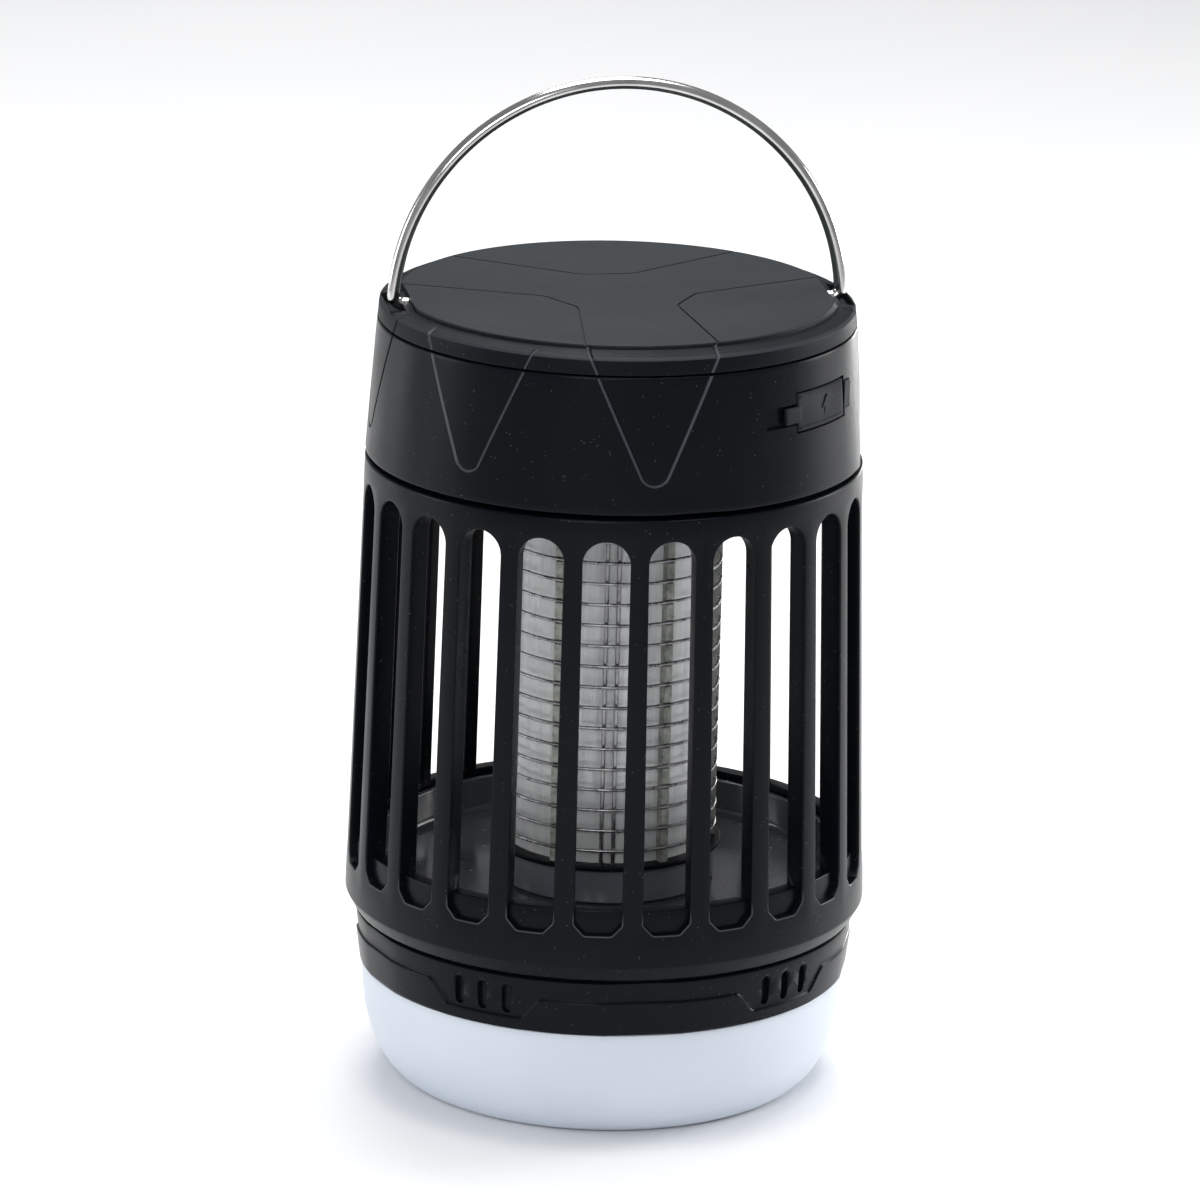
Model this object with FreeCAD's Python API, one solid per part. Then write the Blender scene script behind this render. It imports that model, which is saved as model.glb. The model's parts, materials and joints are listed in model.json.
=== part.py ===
import FreeCAD, Part
import math
import os

# Rechargeable camping-lantern bug zapper. Millimetres, +Z up.
# Origin: centre of the lamp dome's flat base. -Y is the front, X is the handle's pivot axis.

V = FreeCAD.Vector
UP = V(0, 0, 1)

# ---- driving dimensions -------------------------------------------------
# lamp dome
domeR = 41.8            # outside radius of the dome
domeFlatR = 33.2        # radius of the flat base it stands on
domeCurveTop = 18.2     # height where the curve becomes a straight wall
domeTop = 19.75         # height of the dome's visible edge
domeWall = 1.5
domeLipR = 40.8         # snap lip that goes up inside the collar
domeLipTop = 23.5
sealTop = 24.3
# collar
collarBottom = 19.9
collarBottomR = 41.9
collarTopR = 43.1
collarTop = 29.6
collarWebR = 33.6       # inner radius of the collar's web
collarWebUnder = 28.2
reliefProud = 0.35      # step of the collar's lower skirt
reliefTop = 26.0
reliefLow = 22.2
ventGroupPitch = 71.15  # degrees between groups of vent slits
ventPitch = 6.2         # degrees between slits of one group
ventLow, ventHigh = 22.6, 27.6
ventWidth = 1.7
ventDepth = 1.0
# cage
cageWideR, cageWideZ = 44.9, 32.9
cageTopR, cageTop = 42.5, 110.2
cageBoreLowR, cageBoreLowZ = 40.9, 34.0
cageBoreTopR = 38.8
flangeR, flangeUnder = 34.6, 32.0
slotCount = 24
slotWidth = 8.0
slotLow, slotHigh = 42.6, 106.5
recessLow = 38.5        # outline of each slot carries on down as a shallow recess
recessDepth = 1.3
slotAngle = 4.5         # first slot's centre, degrees from the front
# bayonet between cage and housing
lugInner, lugR = 38.4, 39.9
lugLow, lugHigh = 107.7, 109.0
lugHalf = 5.0           # degrees
twistTravel = 18.0      # degrees from locked to free
bayonetGap = 0.3
# tray
trayR, trayFloor, trayRim = 40.2, 34.0, 41.4
trayWall = 1.2
trayHoleR = 14.4
# core and grid
tubeR, tubeBore = 17.4, 15.8
tubeLow = 36.9
footLow, footTop, footR = 36.2, 41.6, 18.8
footSkirtLow = 35.5     # the foot's skirt just clears the tray floor
wireRingR = 18.84
wireR = 0.28
wireCount = 17
wirePitch = 3.65
wireFirst = 45.0
busR = 17.92
busWireR, linkWireR = 0.36, 0.2
wireGap = 0.4           # half height of each comb tooth's gap
busAngles = (-5.0, -11.5)   # the two bus rods, degrees from the front
ribAngles = [23 + 60 * i for i in range(6)]
ringLow, ringTop = 41.6, 42.4
capRingLow, capRingTop = 104.6, 106.4
# carrier
carrierUnder, carrierTop = 110.2, 112.0
socketLow = 106.6
skirtLow, skirtInner = 107.2, 36.9
# housing
houseLow, houseHigh = 111.0, 134.2
houseLowR, houseHighR = 42.5, 40.75
houseWall = 2.0
floorTop = 113.6
vDepth, vWidth = 0.5, 0.7
vTopHalf, vTipHalf, vTipZ = 14.1, 2.4, 115.7
vAngles = (0, -45, -90, -135, 180, 90)
# cap
capUnder, capTop = 134.5, 138.76
discR = 37.0            # raised disc; the shoulder round it falls away to the rim
rimR, rimTop = 40.5, 137.4
ledgeX, ledgeZ = 35.7, 137.8        # flats at both ends of the disc, where the bail goes in
pocketInner, pocketOuter = 37.15, 39.65
pocketHalf, pocketLow = 7.0, 135.9  # room for the bail's legs when it folds
starLineWidth, starLineDepth = 0.6, 0.5
starInnerR = 13.2
# handle
pivotZ = 137.2
handleR = 38.4          # centreline radius of the bail
handleArcZ = 136.5      # height of its arc's centre
handleBend = 1.6
handleWire = 1.1        # radius of the wire
pinEnd = 33.0
pinGap = 0.05
# USB flap
flapAngle = 48.0
flapHalf = 10.2         # degrees
flapLow, flapHigh = 122.4, 128.8
flapThick = 1.4
flapGap = 0.3
# power button
buttonAngle = 135.0
buttonR, buttonZ = 4.5, 126.0
buttonTravel = 0.5
buttonGap = 0.1
# electronics
pcbLow, pcbThick, pcbR = 123.0, 1.6, 36.3
pcbEdge = 3.5           # straight edge of the main board, beside the cell
cellR, cellLength = 9.2, 65.0
cellX, cellZ = -11.5, 123.6
capPosts = ((-33.5, 0.0), (12.0, -33.2), (12.0, 33.2))
carrierPosts = ((26.0, -15.0), (26.0, 15.0), (-25.5, 0.0))
boardPosts = ((31.0, -2.0), (8.0, -27.0), (8.0, 27.0))
leadSpots = ((19.4, -2.5), (19.4, 2.5))
pilotR, shankR = 1.25, 1.24


def at(radius, degrees, z=0.0):
    """Point at a radius and an angle from the front (-Y), positive towards +X."""
    a = math.radians(degrees)
    return V(radius * math.sin(a), -radius * math.cos(a), z)


def turned(shape, degrees):
    """Copy of a shape modelled at the front, turned to an angle from the front."""
    copy = shape.copy()
    copy.rotate(V(0, 0, 0), UP, degrees)
    return copy


def revolved(points):
    """Solid of revolution of a closed (radius, z) outline."""
    wire = Part.makePolygon([V(r, 0, z) for r, z in points] + [V(points[0][0], 0, points[0][1])])
    return Part.Face(wire).revolve(V(0, 0, 0), UP, 360)


def ring(inner, outer, low, high):
    return revolved([(inner, low), (outer, low), (outer, high), (inner, high)])


def disc(radius, low, high, x=0.0, y=0.0):
    return Part.makeCylinder(radius, high - low, V(x, y, low))


def box(x0, x1, y0, y1, z0, z1):
    return Part.makeBox(x1 - x0, y1 - y0, z1 - z0, V(x0, y0, z0))


def sector(inner, outer, low, high, centre, half):
    """Part of a ring between two angles."""
    blank = ring(inner, outer, low, high)
    reach = outer * 1.6
    corners = [V(0, 0, low - 1), at(reach, centre - half, low - 1), at(reach, centre + half, low - 1)]
    wedge = Part.Face(Part.makePolygon(corners + [corners[0]])).extrude(V(0, 0, high - low + 2))
    return blank.common(wedge)


def frontPrism(points, depthFrom, depthTo):
    """Prism along -Y of an (x, z) outline, between two distances from the axis."""
    wire = Part.makePolygon([V(x, -depthFrom, z) for x, z in points + [points[0]]])
    return Part.Face(wire).extrude(V(0, depthFrom - depthTo, 0))


def stadium(width, low, high, depthFrom, depthTo):
    """Prism along -Y of an upright slot with round ends."""
    r = width / 2
    body = box(-r, r, -depthTo, -depthFrom, low + r, high - r)
    ends = [Part.makeCylinder(r, depthTo - depthFrom, V(0, -depthTo, z), V(0, 1, 0))
            for z in (low + r, high - r)]
    return body.fuse(ends)


def joined(shapes):
    return shapes[0].multiFuse(shapes[1:]).removeSplitter() if len(shapes) > 1 else shapes[0]


def group(shapes):
    return Part.makeCompound(shapes)


def screw(x, y, underHead, headHeight, headR, length):
    """Pan-head screw driven upwards, with a cross recess in the head."""
    head = disc(headR, underHead - headHeight, underHead, x, y)
    shank = disc(shankR, underHead, underHead + length, x, y)
    bar = headR * 0.6
    low = underHead - headHeight
    cross = [box(x - bar, x + bar, y - 0.3, y + 0.3, low, low + 0.8),
             box(x - 0.3, x + 0.3, y - bar, y + bar, low, low + 0.8)]
    return head.fuse(shank).cut(group(cross)).removeSplitter()


def houseRadius(z):
    """Outside radius of the housing wall at a height."""
    t = (z - houseLow) / (houseHigh - houseLow)
    return houseLowR + t * (houseHighR - houseLowR)


def cageRadius(z):
    t = (z - cageWideZ) / (cageTop - cageWideZ)
    return cageWideR + t * (cageTopR - cageWideR)


def collarRadius(z):
    t = (z - collarBottom) / (collarTop - collarBottom)
    return collarBottomR + t * (collarTopR - collarBottomR)


# ---- base: dome, seal, collar, reflector, tray, cage --------------------
def domeArc(radial, axial):
    """Quarter ellipse from the flat base up to the straight wall."""
    ellipse = Part.Ellipse(V(domeFlatR, 0, domeCurveTop - axial), V(domeFlatR + radial, 0, domeCurveTop),
                           V(domeFlatR, 0, domeCurveTop))
    return Part.Arc(ellipse, 0, math.pi / 2).toShape()


def diffuserDome():
    outer = domeArc(domeR - domeFlatR, domeCurveTop)
    inner = domeArc(domeR - domeWall - domeFlatR, domeCurveTop - domeWall)
    lipBore = domeLipR - domeWall
    wall = [(domeR, domeCurveTop), (domeR, domeTop), (domeLipR, domeTop), (domeLipR, domeLipTop),
            (lipBore, domeLipTop), (lipBore, domeTop), (domeR - domeWall, domeCurveTop)]
    edges = [Part.LineSegment(V(a[0], 0, a[1]), V(b[0], 0, b[1])).toShape() for a, b in zip(wall, wall[1:])]
    base = [Part.LineSegment(V(0, 0, 0), V(domeFlatR, 0, 0)).toShape(),
            Part.LineSegment(V(domeFlatR, 0, domeWall), V(0, 0, domeWall)).toShape(),
            Part.LineSegment(V(0, 0, domeWall), V(0, 0, 0)).toShape()]
    outline = Part.Wire(Part.__sortEdges__([base[0], outer] + edges + [inner, base[1], base[2]]))
    return Part.Face(outline).revolve(V(0, 0, 0), UP, 360)


def domeSeal():
    return ring(domeLipR - domeWall + 0.1, domeLipR + 0.1, domeLipTop, sealTop)


def collar():
    bore = 39.6
    body = revolved([(collarWebR, collarWebUnder), (bore, collarWebUnder), (bore, sealTop), (41.0, sealTop),
                     (41.0, collarBottom), (collarBottomR, collarBottom), (collarTopR, 29.0),
                     (42.5, collarTop), (collarWebR, collarTop)])
    skirtR = collarRadius(reliefTop)
    skirt = revolved([(41.5, collarBottom), (collarBottomR + reliefProud, collarBottom),
                      (skirtR + reliefProud, reliefTop - reliefProud), (skirtR, reliefTop),
                      (41.5, reliefTop)])
    window = frontPrism([(-7.0, reliefLow), (7.0, reliefLow), (10.9, reliefTop), (12.0, 30.0),
                         (-12.0, 30.0), (-10.9, reliefTop)], 38, 46)
    slit = stadium(ventWidth, ventLow, ventHigh, 38, 46)
    shell = revolved([(0, 15), (collarRadius(15) - ventDepth, 15), (collarRadius(32) - ventDepth, 32),
                      (0, 32)])
    groups = [180 + ventGroupPitch * i for i in range(-2, 3)]
    windows = [turned(window, a) for a in groups]
    slits = [turned(slit, a + ventPitch * i) for a in groups for i in (-1, 0, 1)]
    body = joined([body, skirt.cut(group(windows))])
    body = body.cut(group(slits).cut(shell))
    holes = [disc(1.4, collarWebUnder - 1, collarTop + 1, p.x, p.y) for p in collarScrewSpots()]
    return body.cut(group(holes)).removeSplitter()


def collarScrewSpots():
    return [at(37.5, 30 + 120 * i) for i in range(3)]


def collarScrews():
    return group([screw(p.x, p.y, collarWebUnder, 1.6, 2.0, 5.0) for p in collarScrewSpots()])


def lampReflector():
    return revolved([(14.6, 32.9), (14.6, 33.9), (15.4, 33.9), (33.3, collarWebUnder), (35.2, collarWebUnder),
                     (35.2, 27.2), (32.9, 27.2)])


def trayFloorDisc():
    floor = ring(trayHoleR, trayR - trayWall, trayFloor, trayFloor + trayWall)
    hub = ring(trayHoleR, trayHoleR + trayWall, trayFloor, 35.8)
    return joined([floor, hub])


def trayRimRing():
    return ring(trayR - trayWall, trayR, trayFloor, trayRim)


def slotCutter():
    r = slotWidth / 2
    body = box(-r, r, -48, -36, slotLow, slotHigh - r)
    crown = Part.makeCylinder(r, 12, V(0, -48, slotHigh - r), V(0, 1, 0))
    return body.fuse(crown).removeSplitter()


def recessCutter():
    r = slotWidth / 2
    corner = 1.7
    outline = [(-r, slotLow + 0.1), (-r, recessLow + corner + 0.2), (-r + corner, recessLow),
               (r - corner, recessLow), (r, recessLow + corner + 0.2), (r, slotLow + 0.1)]
    block = frontPrism(outline, 36, 48)
    low, high = recessLow - 2, slotLow + 2
    core = revolved([(0, low), (cageRadius(low) - recessDepth, low), (cageRadius(high) - recessDepth, high),
                     (0, high)])
    return block.cut(core)


def cage():
    body = revolved([(40.0, collarTop), (42.3, collarTop), (43.4, 30.3), (cageWideR, cageWideZ),
                     (cageTopR, cageTop - 0.5), (cageTopR - 0.4, cageTop), (cageBoreTopR, cageTop),
                     (cageBoreLowR, cageBoreLowZ), (flangeR, cageBoreLowZ), (flangeR, flangeUnder),
                     (40.0, flangeUnder)])
    bosses = [disc(2.9, collarTop, flangeUnder, p.x, p.y) for p in collarScrewSpots()]
    body = joined([body] + bosses)
    pitch = 360.0 / slotCount
    cutter = slotCutter()
    recess = recessCutter()
    cuts = [turned(s, slotAngle + pitch * i) for i in range(slotCount) for s in (cutter, recess)]
    cuts += [disc(pilotR, collarTop - 1, 33.3, p.x, p.y) for p in collarScrewSpots()]
    for i in range(3):
        lug = 60 + 120 * i
        grooveHalf = lugHalf + 1 + twistTravel / 2
        cuts.append(sector(38.0, lugR + 0.4, lugLow - bayonetGap, lugHigh + bayonetGap,
                           lug - twistTravel / 2, grooveHalf))
        entry = lug - twistTravel
        cuts.append(sector(38.0, lugR + 0.4, lugLow - bayonetGap, cageTop + 1, entry, lugHalf + 1))
    return body.cut(group(cuts)).removeSplitter()


def cageParts():
    """The cage moulding cut into touching solids: top rim, bars, base wall and inner flange."""
    whole = cage()
    crown = slotHigh - slotWidth / 2
    inside = disc(40.0, collarTop - 1, cageBoreLowZ)
    lower = whole.common(disc(60, 0, slotLow))
    return {
        "cage_rim": whole.common(disc(60, crown, 150)),
        "cage_bars": whole.common(disc(60, slotLow, crown)),
        "cage_base": lower.cut(inside),
        "cage_flange": lower.common(inside),
    }


# ---- core: tube, foot, rings, ribs and wires ----------------------------
def wireHeights():
    return [wireFirst + wirePitch * i for i in range(wireCount)]


def coreTube():
    return ring(tubeBore, tubeR, tubeLow + 1.2, carrierUnder)


def coreFoot():
    """Clear foot ring that closes the tube and holds the lamp board on an inner lip."""
    outer = ring(tubeR + 0.05, footR, footSkirtLow, footTop)
    lip = ring(14.6, tubeR + 0.06, footLow, footLow + 0.7)
    return joined([outer, lip])


def gridRing(low, high):
    holes = [disc(busWireR + 0.05, low - 1, high + 1, p.x, p.y) for p in (at(busR, a) for a in busAngles)]
    return ring(tubeR + 0.05, 19.9, low, high).cut(group(holes))


def gridRibs():
    """Six comb ribs; each tooth gap seats one turn of wire."""
    inner, outer = tubeR + 0.05, 19.0
    seat = wireRingR - wireR - 0.05
    outline = [(inner, ringTop), (outer, ringTop)]
    for z in wireHeights():
        outline += [(outer, z - wireGap), (seat, z - wireGap), (seat, z + wireGap), (outer, z + wireGap)]
    outline += [(outer, capRingLow), (inner, capRingLow)]
    points = [V(r, -0.7, z) for r, z in outline + [outline[0]]]
    rib = Part.Face(Part.makePolygon(points)).extrude(V(0, 1.4, 0))
    rib.rotate(V(0, 0, 0), UP, -90)
    return group([turned(rib, a) for a in ribAngles])


def gridWire(start):
    """Every second turn of wire with its bus rod; the two sets are the two poles."""
    angle = busAngles[start]
    heights = wireHeights()[start::2]
    foot = at(busR, angle, ringLow + 0.2)
    parts = [Part.makeCylinder(busWireR, capRingTop - 0.2 - foot.z, foot)]
    for z in heights:
        parts.append(Part.makeTorus(wireRingR, wireR, V(0, 0, z)))
        parts.append(Part.makeCylinder(linkWireR, wireRingR - busR, at(busR, angle, z), at(1, angle)))
    return joined(parts)


def hvLeads():
    return group([disc(0.8, capRingTop, pcbLow, x, y) for x, y in leadSpots])


def ledBoard():
    return box(-0.6, 0.6, -7.0, 7.0, 38.1, 127.0)


def uvLeds():
    leds = []
    for z in [50 + 12.5 * i for i in range(5)]:
        leds.append(box(0.6, 2.5, -1.8, 1.8, z - 1.4, z + 1.4))
        leds.append(box(-2.5, -0.6, -1.8, 1.8, z - 1.4, z + 1.4))
    return group(leds)


def lampBoard():
    return disc(15.7, tubeLow, tubeLow + 1.2)


def lampLeds():
    spots = [at(9.5, 45 * i) for i in range(8)]
    return group([box(p.x - 1.4, p.x + 1.4, p.y - 1.4, p.y + 1.4, tubeLow - 0.7, tubeLow) for p in spots])


def coreCarrier():
    """Plate that holds the core under the housing, with the bayonet skirt for the cage."""
    plate = disc(lugInner, carrierUnder, carrierTop)
    socket = ring(tubeR + 0.05, 19.9, socketLow, carrierUnder)
    skirt = ring(skirtInner, lugInner, skirtLow, carrierUnder)
    lugs = [sector(lugInner - 0.5, lugR, lugLow, lugHigh, 60 + 120 * i, lugHalf) for i in range(3)]
    body = joined([plate, socket, skirt] + lugs)
    cuts = [box(-1.2, 1.2, -7.5, 7.5, carrierUnder - 1, carrierTop + 1)]
    cuts += [disc(0.9, socketLow - 1, carrierTop + 1, x, y) for x, y in leadSpots]
    cuts += [disc(1.45, carrierUnder - 1, carrierTop + 1, x, y) for x, y in carrierPosts]
    return body.cut(group(cuts)).removeSplitter()


def carrierScrews():
    return group([screw(x, y, carrierUnder, 1.6, 2.2, 6.0) for x, y in carrierPosts])


# ---- housing and its contents -------------------------------------------
def vGroove():
    """Outline groove of one V panel on the wall, front position."""
    topHalf = houseHighR * math.sin(math.radians(vTopHalf))
    tipHalf = houseLowR * math.sin(math.radians(vTipHalf))
    top = houseHigh + 1
    lean = (topHalf - tipHalf) / (houseHigh - vTipZ)
    outer = [(-topHalf - lean, top), (-tipHalf, vTipZ), (tipHalf, vTipZ), (topHalf + lean, top)]
    inset = vWidth * math.hypot(1, lean)
    inner = [(-topHalf - lean + inset, top + 0.1), (-tipHalf + inset * 0.6, vTipZ + vWidth),
             (tipHalf - inset * 0.6, vTipZ + vWidth), (topHalf + lean - inset, top + 0.1)]
    return frontPrism(outer, 36, 48).cut(frontPrism(inner, 35, 49))


def upperHousing():
    wall = revolved([(houseLowR - houseWall, houseLow), (houseLowR - 0.4, houseLow),
                     (houseRadius(111.4), 111.4),
                     (houseHighR, houseHigh), (houseHighR - houseWall, houseHigh)])
    floor = disc(houseRadius(carrierTop) - 1, carrierTop, floorTop)
    posts = [disc(2.9, floorTop - 0.5, 127.0, x, y) for x, y in capPosts]
    posts += [disc(2.7, floorTop - 0.5, 117.0, x, y) for x, y in carrierPosts[:2]]
    posts += [disc(2.0, floorTop - 0.5, 117.0, x, y) for x, y in carrierPosts[2:]]
    posts += [disc(2.3, floorTop - 0.5, pcbLow, x, y) for x, y in boardPosts]
    body = joined([wall, floor] + posts)
    skin = revolved([(0, 110), (houseRadius(110) - vDepth, 110), (houseRadius(136) - vDepth, 136), (0, 136)])
    grooves = [turned(vGroove(), a) for a in vAngles]
    cuts = [group(grooves).cut(skin)]
    cuts += [disc(2.4, carrierTop - 1, 122.0, x, y) for x, y in capPosts]
    cuts += [disc(1.4, 121.0, 128.0, x, y) for x, y in capPosts]
    cuts += [disc(pilotR, carrierTop - 1, 116.5, x, y) for x, y in carrierPosts]
    cuts += [disc(0.9, pcbLow - 5.0, pcbLow + 1, x, y) for x, y in boardPosts]
    cuts += [disc(0.9, carrierTop - 1, floorTop + 1, x, y) for x, y in leadSpots]
    cuts.append(box(-1.2, 1.2, -7.5, 7.5, carrierTop - 1, floorTop + 1))
    cuts += [turned(s, buttonAngle) for s in buttonOpening()]
    cuts += flapOpenings()
    cuts.append(indicatorHole())
    return body.cut(group(cuts)).removeSplitter()


def buttonOpening():
    bore = Part.makeCylinder(buttonR + buttonGap, 12, V(0, -46, buttonZ), V(0, 1, 0))
    return [bore]


def flapOpenings():
    """Recess for the flap, the plug hole behind it and the anchor's hole."""
    z = (flapLow + flapHigh) / 2
    depth = houseRadius(z) - flapThick
    recess = sector(depth, 46, flapLow - flapGap, flapHigh + flapGap, flapAngle, flapHalf + 0.4)
    tab = sector(depth + 0.5, 46, z - 2.0, z + 1.6, flapAngle - flapHalf - 5.0, 5.0)
    plug = turned(box(-4.9, 4.9, -44, -34, z - 2.1, z + 2.1), flapAngle - 1.0)
    anchor = turned(box(-1.3, 1.3, -44, -36, z - 2.4, z + 2.4), flapAngle + flapHalf + 2.2)
    return [recess, tab, plug, anchor]


def usbFlap():
    z = (flapLow + flapHigh) / 2
    wallR = houseRadius(z)
    panel = sector(wallR - flapThick + 0.1, wallR + 0.25, flapLow, flapHigh, flapAngle - 0.35,
                   flapHalf - 0.35)
    plug = turned(box(-4.3, 4.3, -(wallR - 1.2), -(wallR - 3.4), z - 1.6, z + 1.6), flapAngle - 1.0)
    tab = sector(wallR - 0.6, wallR + 0.25, z - 1.7, z + 1.1, flapAngle - flapHalf - 1.4, 2.6)
    return joined([panel, plug, tab])


def flapAnchor():
    """Fixed end of the flap's rubber strap, pressed into its own hole."""
    z = (flapLow + flapHigh) / 2
    wallR = houseRadius(z)
    stem = box(-1.3, 1.3, -(wallR + 0.1), -(wallR - houseWall - 0.3), z - 2.4, z + 2.4)
    head = box(-1.3, 1.3, -(wallR - houseWall - 0.3), -(wallR - houseWall - 1.2), z - 3.2, z + 3.2)
    return turned(joined([stem, head]), flapAngle + flapHalf + 2.2)


def powerButton():
    wallR = houseRadius(buttonZ)
    cap = Part.makeCylinder(buttonR, 2.6, V(0, -(wallR + 0.7), buttonZ), V(0, 1, 0))
    dish = Part.makeSphere(14.0, V(0, -(wallR + 0.7 + 13.6), buttonZ))
    flange = Part.makeCylinder(buttonR + 0.8, 0.8, V(0, -(wallR - houseWall - 1.0), buttonZ), V(0, 1, 0))
    neck = Part.makeCylinder(buttonR, 1.4, V(0, -(wallR - 1.8), buttonZ), V(0, 1, 0))
    stem = Part.makeCylinder(1.4, 3.2, V(0, -(wallR - 1.8), buttonZ), V(0, 1, 0))
    return turned(joined([cap.cut(dish), neck, flange, stem]), buttonAngle)


def buttonStemEnd():
    return houseRadius(buttonZ) - 5.0


def switchPlunger():
    end = buttonStemEnd()
    pin = Part.makeCylinder(0.9, 1.2, V(0, -end, buttonZ), V(0, 1, 0))
    return turned(pin, buttonAngle)


def tactSwitch():
    """Side-push switch on the edge of the main board, with a well for its plunger."""
    face = buttonStemEnd() - buttonTravel - 0.05
    top = pcbLow + pcbThick
    body = box(-3.0, 3.0, -face, -(face - 4.0), top, top + 4.2)
    well = Part.makeCylinder(1.0, 1.4, V(0, -face, buttonZ), V(0, 1, 0))
    return turned(body.cut(well), buttonAngle)


def indicatorHole():
    wallR = houseRadius(buttonZ)
    return turned(Part.makeCylinder(1.0, 8, V(0, -(wallR + 2), buttonZ), V(0, 1, 0)), buttonAngle - 16)


def indicatorLens():
    wallR = houseRadius(buttonZ)
    rod = Part.makeCylinder(1.0, 6.0, V(0, -(wallR + 0.2), buttonZ), V(0, 1, 0))
    return turned(rod, buttonAngle - 16)


def indicatorLed():
    face = houseRadius(buttonZ) - 6.0
    top = pcbLow + pcbThick
    return turned(box(-0.9, 0.9, -face, -(face - 1.8), top, top + 2.2), buttonAngle - 16)


def mainBoard():
    board = disc(pcbR, pcbLow, pcbLow + pcbThick)
    board = board.common(box(pcbEdge, 40, -40, 40, pcbLow - 1, pcbLow + 3))
    cuts = [disc(3.4, pcbLow - 1, pcbLow + 3, x, y) for x, y in capPosts[1:]]
    cuts += [disc(1.0, pcbLow - 1, pcbLow + 3, x, y) for x, y in boardPosts]
    return board.cut(group(cuts))


def boardScrews():
    """Three small screws driven down through the main board into its posts."""
    top = pcbLow + pcbThick
    screws = []
    for x, y in boardPosts:
        head = disc(1.7, top, top + 1.2, x, y)
        shank = disc(0.88, top - 5.0, top, x, y)
        slit = box(x - 1.2, x + 1.2, y - 0.2, y + 0.2, top + 0.7, top + 1.3)
        screws.append(head.fuse(shank).cut(slit).removeSplitter())
    return group(screws)


def boardConnector():
    top = pcbLow + pcbThick
    return box(0.6, 6.2, -7.0, 7.0, top, top + 4.4)


def hvTransformer():
    """Ferrite core round a wound bobbin."""
    x, y, top = 15.0, 3.0, pcbLow + pcbThick
    base = box(x - 6, x + 6, y - 5, y + 5, top, top + 2)
    coil = disc(4.2, top + 2, top + 8, x, y)
    lid = box(x - 6, x + 6, y - 5, y + 5, top + 8, top + 10)
    sides = [box(x + s * 5.25 - 0.75, x + s * 5.25 + 0.75, y - 3, y + 3, top + 2, top + 8) for s in (-1, 1)]
    return joined([base, coil, lid] + sides)


def hvCapacitors():
    top = pcbLow + pcbThick
    return group([box(8.5, 20.5, y - 2.5, y + 2.5, top, top + 8.5) for y in (-8.5, 15.5)])


def filterCapacitor():
    top = pcbLow + pcbThick
    can = disc(3.15, top, top + 10.5, 27.0, 7.5)
    return can.cut(ring(2.9, 3.4, top + 1.6, top + 2.1).translated(V(27.0, 7.5, 0)))


def hvDiodes():
    top = pcbLow + pcbThick
    bases = [V(8.0 + 4.4 * i, -18.0, top + 1.1) for i in range(4)]
    return group([Part.makeCylinder(1.1, 5.0, base, V(0, 1, 0)) for base in bases])


def controlChips():
    top = pcbLow + pcbThick
    charger = box(22.0, 27.0, -8.0, -4.0, top, top + 1.5)
    controller = box(24.0, 29.0, 13.0, 17.0, top, top + 1.5)
    return group([charger, controller])


def usbPort():
    """Micro-size charging socket behind the flap."""
    z = pcbLow + pcbThick
    shell = box(-3.75, 3.75, -37.6, -32.0, z, z + 2.6)
    mouth = box(-3.35, 3.35, -37.7, -33.0, z + 0.4, z + 2.2)
    tongue = box(-2.2, 2.2, -36.8, -33.0, z + 1.1, z + 1.6)
    return turned(shell.cut(mouth).fuse(tongue).removeSplitter(), flapAngle - 1.0)


def batteryCell():
    cell = Part.makeCylinder(cellR, cellLength - 1.5, V(cellX, -cellLength / 2, cellZ), V(0, 1, 0))
    nub = Part.makeCylinder(3.0, 1.5, V(cellX, cellLength / 2 - 1.5, cellZ), V(0, 1, 0))
    return joined([cell, nub])


def batteryCradle():
    """Open cradle moulded to the cell's lower half, resting on the housing floor."""
    block = box(cellX - 7.0, cellX + 7.0, -24, 24, floorTop, cellZ - 3)
    bed = Part.makeCylinder(cellR + 0.02, 60, V(cellX, -30, cellZ), V(0, 1, 0))
    windows = [box(cellX - 8, cellX + 8, y - 5, y + 5, floorTop + 1.0, cellZ) for y in (-12, 12)]
    centre = box(-1.3, 20, -8, 8, floorTop - 1, cellZ)
    return block.cut(group([bed, centre] + windows)).removeSplitter()


def batteryContacts():
    tabs = []
    for s in (-1, 1):
        y = s * cellLength / 2
        tabs.append(box(cellX - 3, cellX + 3, min(y, y + s * 0.3), max(y, y + s * 0.3), cellZ - 4, cellZ + 4))
    return group(tabs)


# ---- cap and handle -----------------------------------------------------
def starLines():
    """Engraved outline of a three-armed star on the disc, carried over the disc's edge."""
    z0, z1 = capTop - starLineDepth, capTop + 1
    lines = []
    for arm in (60, 180, 300):
        rimA, inA = at(discR + 1, arm - 42.8), at(starInnerR, arm - 20)
        rimB, inB = at(discR + 1, arm + 42.8), at(starInnerR, arm + 20)
        for a, b in ((rimA, inA), (inA, inB), (inB, rimB)):
            run = b - a
            bar = box(0, run.Length, -starLineWidth / 2, starLineWidth / 2, z0, z1)
            bar.rotate(V(0, 0, 0), UP, math.degrees(math.atan2(run.y, run.x)))
            lines.append(bar.translated(V(a.x, a.y, 0)))
        lines += [disc(starLineWidth / 2, z0, z1, p.x, p.y) for p in (inA, inB)]
    return lines


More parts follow.
